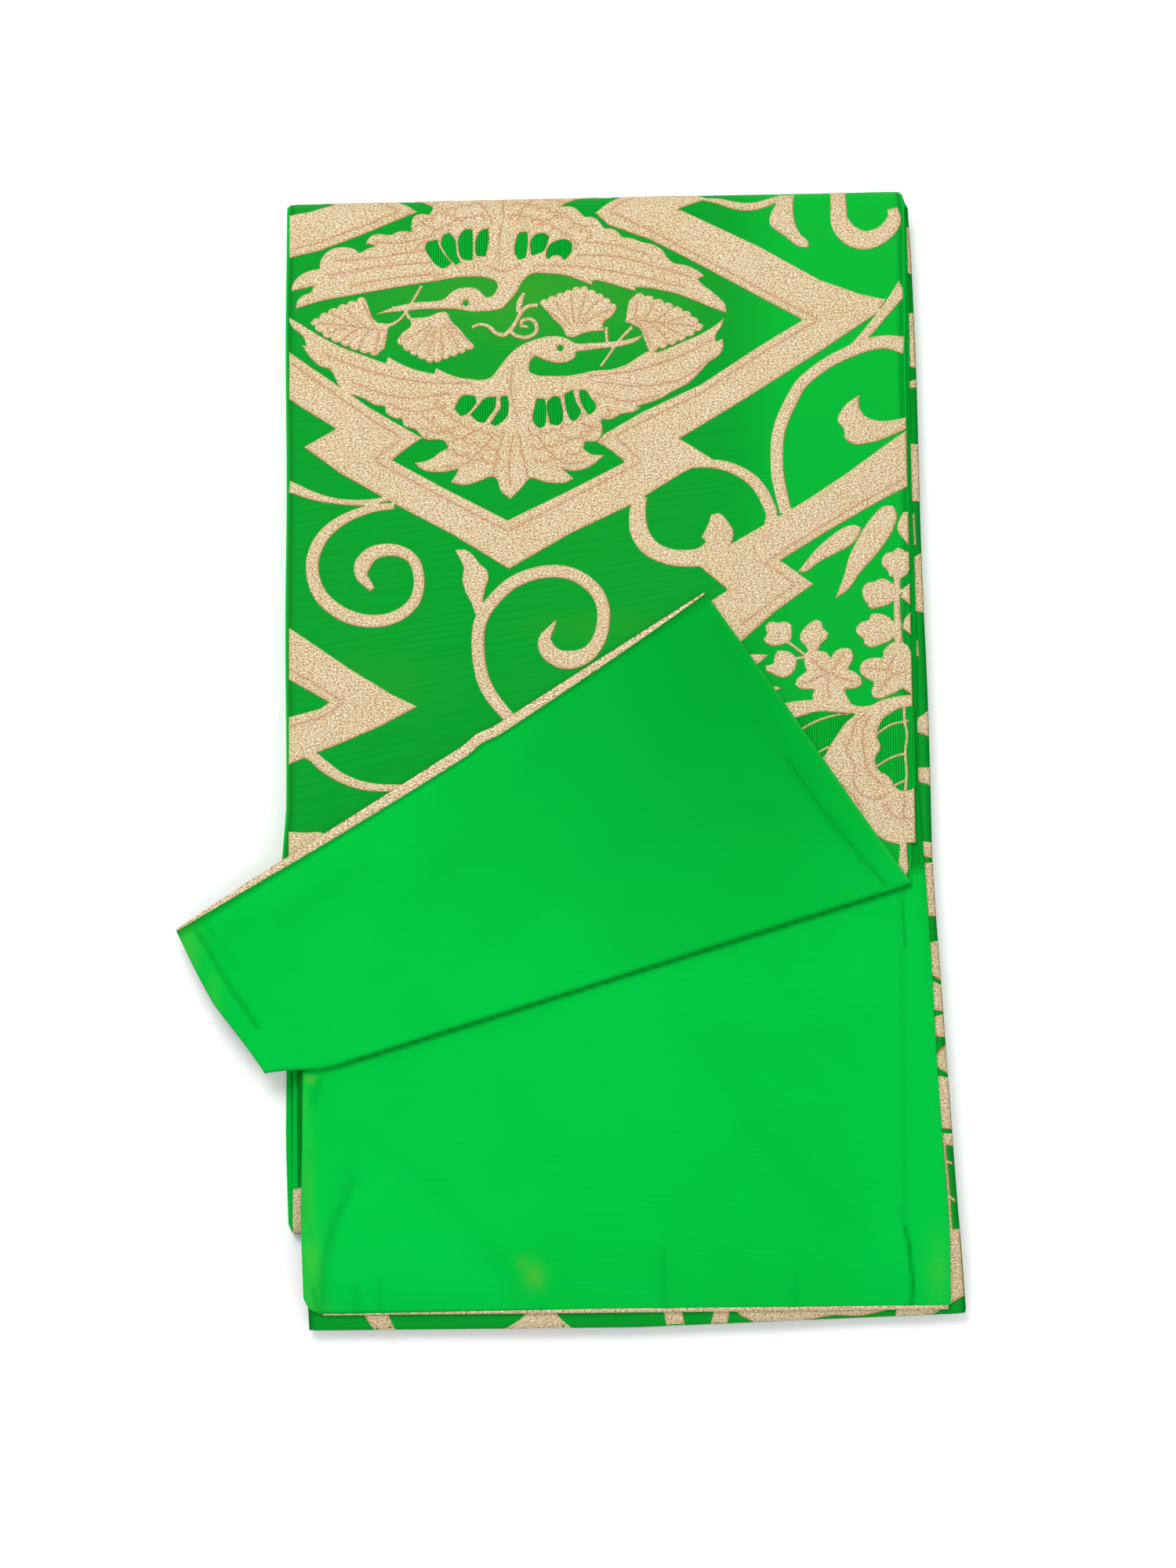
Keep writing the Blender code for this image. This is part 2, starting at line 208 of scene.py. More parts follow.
def fold_y(upper, end):
    if end > 0:
        return FAR_FOLD_Y
    return UPPER_NEAR_FOLD_Y if upper == 3 else LOWER_NEAR_FOLD_Y


def turn(upper, lower, end, outside, kind, u, steps=8, downwards=True, whole=False):
    """A half turn: y is the fold plus radius times the sine, z the middle plus radius times the cosine.
    Its last row belongs to the next stretch, unless the turn is the end of the cloth."""
    angle = np.linspace(0.0, np.pi, steps + 1)[1 : steps + whole, None]
    if not downwards:
        angle = angle[::-1]
    radius = (level(upper) - level(lower)) / 2 + cloth_offset(outside, u)[None, :]
    middle_y = fold_y(upper, end)
    x_upper = across(upper, u[None, :], middle_y, kind)
    x_lower = across(lower, u[None, :], middle_y, kind)
    x = x_upper + angle / np.pi * (x_lower - x_upper)
    y = middle_y + end * radius * np.sin(angle)
    z = (level(upper) + level(lower)) / 2 + radius * np.cos(angle)
    return settled(upper if end < 0 else 1, u[None, :], x, y, z)


def along(points):
    """The length along the middle of a strip, row by row."""
    middle = points[:, points.shape[1] // 2]
    steps = np.linalg.norm(np.diff(middle, axis=0), axis=1)
    return np.concatenate([[0.0], np.cumsum(steps)])


print("a seam closes from", FIELD_OFFSET, "to", SEAM_OFFSET, "mm")

# %% [markdown]
# ## The turned end
# The top stretch runs towards the near side and is turned back over itself on a slanting line.
# Points past that line are bent round a tight half turn and then run back, mirrored in the line.
# The far corner of the fold hangs past the stack, so it sinks towards the table.

# %% The slanting fold
FOLD_RIGHT = np.array([169.0, -68.9])
FOLD_ANGLE = math.radians(16.85)
FOLD_ALONG = np.array([math.cos(FOLD_ANGLE), math.sin(FOLD_ANGLE)])
FOLD_OUT = np.array([FOLD_ALONG[1], -FOLD_ALONG[0]])
BEND = PITCH / 2
FOLD_TANGENT = FOLD_RIGHT - (BEND + PLY / 2) * FOLD_OUT
END_LEFT_Y, END_RIGHT_Y = -252.8, -243.8
CORNER_X, CORNER_LIFT, CORNER_REACH, CORNER_DEPTH = -112.0, 6.5, 35.0, 45.0
OVERHANG_X, OVERHANG_DROP, OVERHANG_REACH = -147.0, 8.0, 44.0


def turned(u, flat, offset):
    """Bends flat places over the fold line: past it, the shift along the way out is the radius times
    the sine of the angle, less how far past the place was, and less it again beyond the half turn."""
    past = (flat - FOLD_TANGENT) @ FOLD_OUT
    angle = np.clip(past / BEND, 0.0, np.pi)
    beyond = np.maximum(past - np.pi * BEND, 0.0)
    radius = BEND - offset
    shift = np.where(past > 0, radius * np.sin(angle) - past - beyond, 0.0)
    place = flat + shift[..., None] * FOLD_OUT
    x, y = place[..., 0], place[..., 1]
    near_fold = np.exp(-((((place - FOLD_TANGENT) @ FOLD_OUT) / CORNER_DEPTH) ** 2))
    y = y + CORNER_LIFT * smooth((CORNER_X - x) / CORNER_REACH) * near_fold
    drop = OVERHANG_DROP * np.clip((OVERHANG_X - x) / OVERHANG_REACH, 0.0, 1.0) ** 2
    z = level(1) + BEND - radius * np.cos(angle) - drop
    return settled(1, u, x, y, z)


def fold_line_y(past):
    """Where a line parallel to the fold, and this far past its start, meets the two sides."""
    rise = (BEND + PLY / 2 - past) / math.cos(FOLD_ANGLE)
    fall = (FOLD_RIGHT[0] + 146.8) * math.tan(FOLD_ANGLE)
    return np.array([FOLD_RIGHT[1] - fall + rise, FOLD_RIGHT[1] + rise])


def slanted_run(kind, above, u, ends_from, ends_to, rows):
    """Rows between two slanting lines, each given by its y on the left side and on the right one."""
    share = np.linspace(0.0, 1.0, rows)[:, None]
    ends = (1 - share) * np.asarray(ends_from) + share * np.asarray(ends_to)
    return slanted_rows(kind, above, u, ends)


def slanted_rows(kind, above, u, ends):
    """Rows whose ends lie on the two sides at the given y, with an inset for each column or none."""
    ends = np.asarray(ends)
    left = np.stack([side_x(1, 0, ends[:, 0]) + roll(1, kind, 0.0), ends[:, 0]], axis=-1)
    right = np.stack([side_x(1, 1, ends[:, 1]) - roll(1, kind, 0.0), ends[:, 1]], axis=-1)
    flat = left[:, None] + u[None, :, None] * (right - left)[:, None]
    return turned(u[None, :], flat, cloth_offset(above, u)[None, :])


ARC = math.pi * BEND
print("the turned end is", round(fold_line_y(ARC)[0] - END_LEFT_Y), "mm long on its left side")

# %% [markdown]
# ## Silk in the shader
# Silk has three scales: threads under half a millimetre, streaks where a thread is thicker or
# takes the dye better, and broad clouds where the cloth has aged. Both silks and the gold use
# them, so each one is a node group with its own inputs, built once. They read a UV map laid out
# in metres of cloth, so the threads follow the cloth round its folds.

# %% Helpers for node trees
def add(tree, kind, inputs=None, **settings):
    """A new node with its settings; inputs are plain values or the sockets that feed them."""
    made = tree.nodes.new("ShaderNode" + kind)
    for name, value in settings.items():
        setattr(made, name, value)
    for key, value in (inputs or {}).items():
        if isinstance(value, bpy.types.NodeSocket):
            tree.links.new(value, made.inputs[key])
        else:
            made.inputs[key].default_value = value
    return made


def new_group(name, inputs, outputs):
    """An empty node group with named sockets: its tree, its input sockets and its output sockets."""
    tree = bpy.data.node_groups.new(name, "ShaderNodeTree")
    for socket, kind, value in inputs:
        made = tree.interface.new_socket(socket, in_out="INPUT", socket_type="NodeSocket" + kind)
        made.default_value = value
    for socket, kind in outputs:
        tree.interface.new_socket(socket, in_out="OUTPUT", socket_type="NodeSocket" + kind)
    return tree, tree.nodes.new("NodeGroupInput").outputs, tree.nodes.new("NodeGroupOutput")


def use(tree, group, inputs):
    """Places a node group in a material, and gives its outputs."""
    return add(tree, "Group", inputs, node_tree=group).outputs


def blend(tree, share, first, second):
    """A colour between two, by a share."""
    inputs = {0: share, 6: first, 7: second}
    return add(tree, "Mix", inputs, data_type="RGBA").outputs[2]


def maths(tree, operation, first, second=0.0):
    return add(tree, "Math", {0: first, 1: second}, operation=operation).outputs[0]


def remap(tree, value, low, high, to_low=0.0, to_high=1.0):
    """A value between two limits, stretched to two others and held there."""
    inputs = {"Value": value, "From Min": low, "From Max": high, "To Min": to_low, "To Max": to_high}
    return add(tree, "MapRange", inputs, clamp=True).outputs[0]


print("helpers ready")

# %% The three scales of silk as node groups
WHOLE_TURN = round(math.tau, 4)


def waves(tree, length, per_m):
    """The sine of a length in metres times the threads in a metre, each thread one whole turn."""
    turns = maths(tree, "MULTIPLY", length, per_m)
    return maths(tree, "SINE", maths(tree, "MULTIPLY", turns, WHOLE_TURN))


def threads_group():
    """Warp and weft as two crossed sines, and streaks as noise stretched along the weft."""
    sockets = [("Place", "Vector", (0.0, 0.0, 0.0)), ("Warp per m", "Float", 1800.0)]
    sockets += [("Weft per m", "Float", 1800.0)]
    tree, given, out = new_group("silk_threads", sockets, [("Height", "Float"), ("Streak", "Float")])
    split = add(tree, "SeparateXYZ", {0: given["Place"]}).outputs
    warp = waves(tree, split[0], given[1])
    weft = waves(tree, split[1], given[2])
    stretched = add(tree, "Mapping", {"Vector": given["Place"], "Scale": (30.0, 700.0, 1.0)})
    streak = add(tree, "TexNoise", {"Vector": stretched.outputs[0], "Scale": 1.0, "Detail": 2.0})
    height = maths(tree, "ADD", maths(tree, "MULTIPLY", warp, 0.25), maths(tree, "MULTIPLY", weft, 0.25))
    height = maths(tree, "ADD", height, streak.outputs[0])
    tree.links.new(height, out.inputs["Height"])
    tree.links.new(remap(tree, streak.outputs[0], 0.3, 0.7), out.inputs["Streak"])
    return tree


def clouds_group():
    """Broad unevenness: two noises of different size, added and stretched to the whole range."""
    sockets = [("Place", "Vector", (0.0, 0.0, 0.0)), ("Per m", "Float", 14.0)]
    tree, given, out = new_group("aged_clouds", sockets, [("Share", "Float")])
    wide = add(tree, "TexNoise", {"Vector": given["Place"], "Scale": given["Per m"], "Detail": 3.0})
    finer = add(tree, "TexNoise", {"Vector": given["Place"], "Detail": 2.0})
    tree.links.new(maths(tree, "MULTIPLY", given["Per m"], 4.3), finer.inputs["Scale"])
    both = maths(tree, "ADD", wide.outputs[0], maths(tree, "MULTIPLY", finer.outputs[0], 0.4))
    tree.links.new(remap(tree, both, 0.5, 0.9), out.inputs["Share"])
    return tree


def grains_group():
    """Floats of gold thread: noise cells a little wider than high, and a finer noise for the twist."""
    sockets = [("Place", "Vector", (0.0, 0.0, 0.0)), ("Per m", "Float", 1250.0)]
    outputs = [("Pale", "Float"), ("Dark", "Float"), ("Height", "Float")]
    tree, given, out = new_group("gold_grains", sockets, outputs)
    wide = add(tree, "Mapping", {"Vector": given["Place"], "Scale": (0.75, 1.15, 1.0)}).outputs[0]
    moved = add(tree, "Mapping", {"Vector": wide, "Location": (0.37, 0.11, 0.0)}).outputs[0]
    first = add(tree, "TexNoise", {"Vector": wide, "Scale": given["Per m"], "Detail": 0.8}).outputs[0]
    second = add(tree, "TexNoise", {"Vector": moved, "Scale": given["Per m"], "Detail": 0.8}).outputs[0]
    tree.links.new(remap(tree, first, 0.52, 0.63), out.inputs["Pale"])
    tree.links.new(remap(tree, second, 0.53, 0.64), out.inputs["Dark"])
    height = maths(tree, "SUBTRACT", first, maths(tree, "MULTIPLY", second, 0.6))
    tree.links.new(height, out.inputs["Height"])
    return tree


THREADS, CLOUDS, GRAINS = threads_group(), clouds_group(), grains_group()
print("groups:", [group.name for group in (THREADS, CLOUDS, GRAINS)])

# %% [markdown]
# ## The finishes
# The ground of the brocade is a satin, deep green with an olive cast where it has aged. The back
# is a lighter, plainer silk that keeps its creases and has yellowed a little along its seams. The
# gold is a thread of gilt paper round a silk core, and the weaver floats it over the ground, so
# it is a speckle of pale, straw and russet grains and not a smooth metal. Painted shade in the
# creases, along the seams and where the cloth lies in shadow, painted light on the right of the
# brocade, a painted highlight along its left edge, and a painted highlight and shade on the rims
# of the motifs come from attributes that the meshes carry.

# %% The green silks
def new_material(name, roughness, metallic=0.0, specular=0.5, sheen=0.0):
    """A material with a Principled shader and the cloth's UV map as its place."""
    made = bpy.data.materials.new(name)
    made.use_nodes = True
    tree = made.node_tree
    shader = tree.nodes["Principled BSDF"]
    shader.inputs["Roughness"].default_value = roughness
    shader.inputs["Metallic"].default_value = metallic
    shader.inputs["Specular IOR Level"].default_value = specular
    shader.inputs["Sheen Weight"].default_value = sheen
    shader.inputs["Sheen Roughness"].default_value = 0.4
    place = add(tree, "UVMap", uv_map="cloth").outputs[0]
    return made, tree, shader, place


def attribute(tree, name):
    return add(tree, "Attribute", attribute_name=name).outputs["Fac"]


THREAD_RELIEF = 0.00008
RIB_RELIEF = 0.00022
GRAIN_RELIEF = 0.0005


def bump(tree, shader, height, relief):
    """Tilts the surface by a height of 0 to 1 that stands for this many metres."""
    inputs = {"Height": height, "Distance": relief}
    tree.links.new(add(tree, "Bump", inputs).outputs[0], shader.inputs["Normal"])


def satin_ground():
    """Deep green satin: two greens by streaks, olive by clouds, painted light and painted shade."""
    made, tree, shader, place = new_material("green_satin", 0.5, specular=0.025, sheen=0.002)
    threads = use(tree, THREADS, {"Place": place, "Warp per m": 2100.0, "Weft per m": 1400.0})
    clouds = use(tree, CLOUDS, {"Place": place, "Per m": 9.0})
    green = blend(tree, threads["Streak"], (0.0, 0.255, 0.0165, 1), (0.0, 0.282, 0.0215, 1))
    # painted light: a lighter green towards the right of the brocade and its far end
    green = blend(tree, attribute(tree, "painted_light"), green, (0.0, 0.372, 0.0280, 1))
    olive = maths(tree, "MULTIPLY", clouds["Share"], 0.08)
    # the olive spots, and a painted highlight along the left edge of the top stretch
    spots = maths(tree, "MULTIPLY", attribute(tree, "olive"), clouds["Share"])
    olive = maths(tree, "MAXIMUM", olive, spots)
    green = blend(tree, olive, green, (0.030, 0.272, 0.018, 1))
    # painted shade: a dark line along each side, where the cloth turns down at the seam
    shade = maths(tree, "MULTIPLY", attribute(tree, "seam"), 0.6)
    green = blend(tree, shade, green, (0.0, 0.11, 0.010, 1))
    tree.links.new(green, shader.inputs["Base Color"])
    tree.links.new(remap(tree, threads["Streak"], 0.0, 1.0, 0.46, 0.54), shader.inputs["Roughness"])
    bump(tree, shader, threads["Height"], THREAD_RELIEF)
    return made


def plain_back():
    """Lighter plain silk: clouds of two greens, seams gone yellow, stains, and painted shade in patches and
    along the creases.
    """
    made, tree, shader, place = new_material("green_back_silk", 0.6, specular=0.015, sheen=0.002)
    threads = use(tree, THREADS, {"Place": place, "Warp per m": 1700.0, "Weft per m": 1700.0})
    clouds = use(tree, CLOUDS, {"Place": place, "Per m": 7.0})
    fine = use(tree, CLOUDS, {"Place": place, "Per m": 70.0})
    green = blend(tree, clouds["Share"], (0.0, 0.438, 0.037, 1), (0.0, 0.490, 0.049, 1))
    green = blend(tree, maths(tree, "MULTIPLY", threads["Streak"], 0.15), green, (0.0, 0.385, 0.032, 1))
    # painted shade: darker green where the cloth lies in shadow, round the turned end's far corner and on
    # the panel
    green = blend(tree, attribute(tree, "painted_shade"), green, (0.0, 0.270, 0.018, 1))
    tint = maths(tree, "MULTIPLY", attribute(tree, "tint"), remap(tree, fine["Share"], 0.0, 1.0, 0.35, 1.0))
    green = blend(tree, tint, green, (0.055, 0.46, 0.035, 1))
    green = blend(tree, attribute(tree, "stain"), green, (0.10, 0.39, 0.022, 1))
    # painted shade: dark lines in the creases, below the gold of the turned end, under its fold and beside
    # the top stretch
    green = blend(tree, attribute(tree, "painted_shade_line"), green, (0.0, 0.17, 0.008, 1))
    tree.links.new(green, shader.inputs["Base Color"])
    bump(tree, shader, threads["Height"], THREAD_RELIEF)
    return made


RIB_ANGLE_PER_M = 5200.0


def ribbed_silk():
    """The silk that shows through the windows of a motif: ribs of warp, one a millimetre and a bit."""
    made, tree, shader, place = new_material("green_ribbed_silk", 0.5, specular=0.05)
    threads = use(tree, THREADS, {"Place": place, "Warp per m": 800.0, "Weft per m": 1400.0})
    split = add(tree, "SeparateXYZ", {0: place}).outputs[0]
    rib = maths(tree, "SINE", maths(tree, "MULTIPLY", split, RIB_ANGLE_PER_M))
    # painted shade: darker green between the ribs, lighter green on them
    green = blend(tree, remap(tree, rib, -0.6, 0.8), (0.0, 0.235, 0.010, 1), (0.0, 0.45, 0.035, 1))
    tree.links.new(green, shader.inputs["Base Color"])
    height = maths(tree, "ADD", rib, threads["Height"])
    bump(tree, shader, height, RIB_RELIEF)
    return made


print("silks:", satin_ground().name, plain_back().name, ribbed_silk().name)

# %% The gold thread
def gold_thread(name, per_m=1250.0, rims=True):
    """Straw gold with pale and russet grains. Rims of motifs get a painted shade on one side and a painted
    highlight on the other.
    """
    made, tree, shader, place = new_material(name, 0.5, metallic=0.15, specular=0.3)
    grains = use(tree, GRAINS, {"Place": place, "Per m": per_m})
    clouds = use(tree, CLOUDS, {"Place": place, "Per m": 30.0})
    straw = blend(tree, clouds["Share"], (0.535, 0.405, 0.215, 1), (0.565, 0.455, 0.275, 1))
    gold = blend(tree, maths(tree, "MULTIPLY", grains["Pale"], 0.85), straw, (0.78, 0.73, 0.54, 1))
    gold = blend(tree, maths(tree, "MULTIPLY", grains["Dark"], 0.85), gold, (0.30, 0.125, 0.045, 1))
    if rims:
        line = maths(tree, "MULTIPLY", attribute(tree, "line"), 0.72)
        gold = blend(tree, line, gold, (0.36, 0.115, 0.035, 1))
        # painted shade on rims that face away from the light, and painted highlight on those that face it
        gold = blend(tree, attribute(tree, "russet"), gold, (0.27, 0.125, 0.008, 1))
        gold = blend(tree, attribute(tree, "pale"), gold, (0.36, 0.40, 0.07, 1))
    tree.links.new(gold, shader.inputs["Base Color"])
    tree.links.new(remap(tree, grains["Pale"], 0.0, 1.0, 0.6, 0.4), shader.inputs["Roughness"])
    bump(tree, shader, grains["Height"], GRAIN_RELIEF)
    return made


SATIN, BACK_SILK, RIBBED = (bpy.data.materials[name] for name in
                            ("green_satin", "green_back_silk", "green_ribbed_silk"))
GOLD = gold_thread("gold_floats")
GOLD_END = gold_thread("gold_end", per_m=1000.0, rims=False)
print("gold:", GOLD.name, GOLD_END.name)

# %% [markdown]
# ## From points to cloth
# A sheet is a grid of points, one row for each place along the cloth. The grid becomes a mesh
# with one quad between four neighbours, a UV map in metres of cloth, and any attributes that its
# finish reads. Solidify gives it its thickness, so every sheet is a closed shell with turned
# edges, and not a bare surface.

# %% Building a sheet
def mesh_of(name, points, faces, uv, finish, values=None):
    """A mesh from whole arrays: points in mm, faces of equal size, UVs and attributes by point."""
    mesh = bpy.data.meshes.new(name)
    mesh.vertices.add(len(points))
    mesh.vertices.foreach_set("co", (points * MM).astype(np.float32).ravel())
    mesh.loops.add(faces.size)
    mesh.loops.foreach_set("vertex_index", faces.astype(np.int32).ravel())
    mesh.polygons.add(len(faces))
    mesh.polygons.foreach_set("loop_start", np.arange(0, faces.size, faces.shape[1], dtype=np.int32))
    mesh.update(calc_edges=True)
    layer = mesh.uv_layers.new(name="cloth")
    layer.data.foreach_set("uv", uv[faces.ravel()].astype(np.float32).ravel())
    for key, value in (values or {}).items():
        stored = mesh.attributes.new(key, "FLOAT", "POINT")
        stored.data.foreach_set("value", value.astype(np.float32).ravel())
    mesh.materials.append(finish)
    mesh.shade_smooth()
    made = bpy.data.objects.new(name, mesh)
    bpy.context.scene.collection.objects.link(made)
    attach(made, "root")
    return made


def grid_faces(rows, count):
    index = np.arange(rows * count).reshape(rows, count)
    corners = (index[:-1, :-1], index[:-1, 1:], index[1:, 1:], index[1:, :-1])
    return np.stack(corners, axis=-1).reshape(-1, 4)


def sheet(name, points, u, finish, values=None, start=0.0):
    """A shell of cloth on a grid of points. The flat size is its width by the length along its middle."""
    length = along(points) + start
    uv = np.stack(np.broadcast_arrays(u[None, :] * CLOTH_WIDTH, length[:, None]), axis=-1) * MM
    faces = grid_faces(*points.shape[:2])
    made = mesh_of(name, points.reshape(-1, 3), faces, uv.reshape(-1, 2), finish, values)
    wall = made.modifiers.new("Cloth", "SOLIDIFY")
    wall.thickness = SHELL * MM
    wall.offset = 0.0
    print(name, "is", round(CLOTH_WIDTH), "x", round(length[-1] - start), "mm,", len(faces), "quads")
    return made


print("sheets are", SHELL, "mm thick")

# %% [markdown]
# ## Creases
# The back silk remembers how it was pressed. Seam allowances show as long soft ridges beside the
# sides, and a few folds from older foldings cross the field. The creases are lines of points, each
# with a width and a height. A place near a line is raised by the height times a bell curve of its
# distance, and the lee of the ridge gets a painted shade, a darker green where shade falls.

# %% Creases and marks on the back silk
def line_distance(x, y, line):
    """The distance from each place to a line of points: the least over its straight pieces."""
    line = np.asarray(line, float)
    first, step = line[:-1], np.diff(line, axis=0)
    from_x = x[..., None] - first[:, 0]
    from_y = y[..., None] - first[:, 1]
    share = (from_x * step[:, 0] + from_y * step[:, 1]) / (step**2).sum(axis=1)
    share = np.clip(share, 0.0, 1.0)
    return np.hypot(from_x - share * step[:, 0], from_y - share * step[:, 1]).min(axis=-1)


def creased(points, creases):
    """Raises a grid of points along the creases, and gives the painted shade beside each of them."""
    x, y = points[..., 0], points[..., 1]
    raised = np.zeros(x.shape)
    dark = np.zeros(x.shape)
    for line, width, height, shade in creases:
        near = np.exp(-((line_distance(x, y, line) / width) ** 2))
        raised += height * near
        lee = line_distance(x + 0.6 * width, y - 0.4 * width, line)
        dark = np.maximum(dark, shade * np.exp(-((lee / (0.8 * width)) ** 2)))
    moved = points.copy()
    moved[..., 2] += raised
    return moved, dark


def patches(points, spots):
    """A soft patch for each spot: its share times a bell curve of the distance over its two radii."""
    x, y = points[..., 0], points[..., 1]
    cover = np.zeros(x.shape)
    for middle_x, middle_y, radius_x, radius_y, share in spots:
        far = ((x - middle_x) / radius_x) ** 2 + ((y - middle_y) / radius_y) ** 2
        cover = np.maximum(cover, share * np.exp(-far))
    return cover


FLAP_CREASES = [
    ([(96, 10), (112, -10), (130, -37), (150, -62)], 4.2, -0.5, 0.15),
    ([(110, -7), (122, -26), (138, -47), (157, -70)], 1.5, -0.5, 0.46),
    ([(74, 62), (90, 32), (110, 2), (126, -22)], 2.6, 0.35, 0.07),
    ([(-183, -84), (-175, -96), (-163, -116), (-149, -136)], 1.7, -0.6, 0.40),
    ([(-176, -84), (-165, -96), (-158, -106)], 3.0, 0.4, 0.12),
    ([(-160, -92), (-120, -78), (-92, -60)], 7.0, 0.35, 0.06),
    ([(20, -60), (70, -40), (118, -34)], 11.0, 0.4, 0.05),
    ([(-60, -70), (-20, -30), (10, 12)], 12.0, 0.35, 0.05),
]
PANEL_CREASES = [
    ([(166, -66), (165, -116), (164, -180), (164, -232)], 2.2, 0.25, 0.16),
    ([(166, -70), (165.5, -84), (166.5, -100)], 1.0, -0.3, 0.42),
    ([(162, -226), (164, -238)], 2.0, -0.4, 0.25),
    ([(163.5, -235), (165.5, -248), (166.5, -262), (166, -275)], 1.1, -0.8, 0.85),
    ([(-118, -274), (-117, -252), (-112, -232), (-103, -212)], 3.2, -0.5, 0.28),
    ([(-123, -262), (-121, -274)], 1.6, -0.5, 0.35),
    ([(-124, -196), (-126, -216), (-124, -236)], 2.4, 0.4, 0.12),
    ([(-119, -163), (-122, -172)], 2.5, 0.35, 0.25),
    ([(-101, -199), (-110, -226)], 5.0, 0.3, 0.12),
    ([(-97, -190), (-60, -215), (-20, -262)], 9.0, 0.3, 0.05),
    ([(47, -246), (47, -270)], 2.4, 0.35, 0.2),
    ([(110, -258), (110, -272)], 2.2, 0.3, 0.16),
    ([(-102, -262), (-102, -274)], 1.8, 0.25, 0.2),
    ([(-90, -258), (-91, -272)], 1.8, 0.25, 0.16),
    ([(60, -130), (100, -190), (150, -240)], 12.0, 0.3, 0.04),
]
FLAP_TINTS = [(-186, -97, 6, 17, 0.8), (-172, -122, 4, 12, 0.4), (-192, -88, 4, 4, 0.6)]
PANEL_TINTS = [(-126, -216, 2.6, 26, 0.55), (-125, -252, 4.5, 20, 0.7), (-124, -271, 8, 3, 0.5)]
PANEL_TINTS += [(178, -256, 5, 14, 0.45), (-128, -175, 2, 14, 0.35)]
PANEL_STAINS = [(-17, -256, 4.5, 5.5, 0.5), (-22, -250, 3, 3, 0.35), (-125, -160.5, 2.2, 1.4, 0.9)]
print(len(FLAP_CREASES), "creases on the turned end and", len(PANEL_CREASES), "on the panel")

# %% [markdown]
# ## The top stretch
# Both cloths of the top stretch start at the turned end, run under it to the slanting fold, come
# back as the top of the stack, and go down round the far roll. Rows are close together where the
# cloth shows and far apart where it doesn't.

# %% The two cloths of the top stretch
BAND_LEAST, BAND_BULGE = 0.9, 4.6
OLIVE_SPOTS = [(-25, 225, 95, 30, 1.0), (-47, 184, 26, 9, 0.8)]
OLIVE_SPOTS += [(20, 60, 50, 8, 0.5), (-90, 30, 40, 20, 0.35)]
NEAR_LINE = fold_line_y(0.0)
PAST_LINE = fold_line_y(ARC)
FAR_LINE = np.array([FAR_FOLD_Y, FAR_FOLD_Y])
END_LINE = np.array([END_LEFT_Y, END_RIGHT_Y])
COVERED_SHARE = 0.36
END_STRIP, END_SHARES = 9.0, (0, 0.3, 0.65)
END_SHADE = [0.8, 0.45, 0.0]
FLAP_ROWS = 104
SHADE_CORNER, SHADE_REACH = (85, 60), 260


def band_width(u):
    """How far the woven gold reaches in from the end: most in the middle, next to nothing at the sides."""
    return BAND_LEAST + BAND_BULGE * np.sin(np.pi * np.clip(u, 0, 1)) ** 0.8


def pucker(u):
    """A small bulge of the end, where a knot in the weft pushes it out."""
    return 1.3 * np.exp(-(((u - 0.57) / 0.018) ** 2))


def end_rows(kind, above, u, insets):
    """Rows beside the end of the sash, each set back by its own inset for every column."""
    rows = []
    for inset in insets:
        left = side_x(1, 0, END_LEFT_Y + inset) + roll(1, kind, 0.0)
        right = side_x(1, 1, END_RIGHT_Y + inset) - roll(1, kind, 0.0)
        y = END_LEFT_Y + inset + u * (END_RIGHT_Y - END_LEFT_Y) - pucker(u)
        flat = np.stack(np.broadcast_arrays(left + u * (right - left), y), axis=-1)
        rows.append(turned(u, flat, cloth_offset(above, u)))
    return np.stack(rows)


def top_strip(kind, above, u, flap_rows, covered_rows, shown_rows):
    """The rows of one cloth from the turned end to the bottom of the far roll."""
    covered = NEAR_LINE + COVERED_SHARE * (FAR_LINE - NEAR_LINE)
    first = END_LINE + END_STRIP
    width = band_width(u)
    return np.concatenate([
        end_rows(kind, above, u, [width + share * (END_STRIP - width) for share in END_SHARES]),
        slanted_run(kind, above, u, first, PAST_LINE, flap_rows),
        slanted_rows(kind, above, u, [fold_line_y(past) for past in np.linspace(ARC, 0.0, 11)[1:-1]]),
        slanted_run(kind, above, u, NEAR_LINE, covered, covered_rows)[:-1],
        slanted_run(kind, above, u, covered, FAR_LINE, shown_rows),
        turn(1, 8, 1, above, kind, u, steps=26, whole=True),
    ])


u_brocade, u_top = columns(110), columns(150)
brocade_points = top_strip(FRONT, 1, u_brocade, 24, 30, 110)
top_x, top_y = brocade_points[..., 0], brocade_points[..., 1]
from_side = np.minimum(u_brocade, 1 - u_brocade) * CLOTH_WIDTH
# painted highlight: a yellow-green line along the left edge, carried with the olive spots
left_edge_highlight = 1.1 * np.exp(-(((top_x - top_x[:, :1]) / 1.2) ** 2))
brocade_top = sheet("brocade_top_cloth", brocade_points, u_brocade, SATIN, values={
    # painted shade: a dark line 1.6 mm in from each side
    "seam": np.broadcast_to(np.exp(-(((from_side - 1.6) / 1.0) ** 2)), brocade_points.shape[:2]),
    # painted light: lighter towards the right and the far end
    "painted_light": smooth((top_x - 75) / 45) * (0.65 + 0.35 * smooth(top_y / 230)),
    "olive": np.maximum(patches(brocade_points, OLIVE_SPOTS), left_edge_highlight)})
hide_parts("brocade_top")

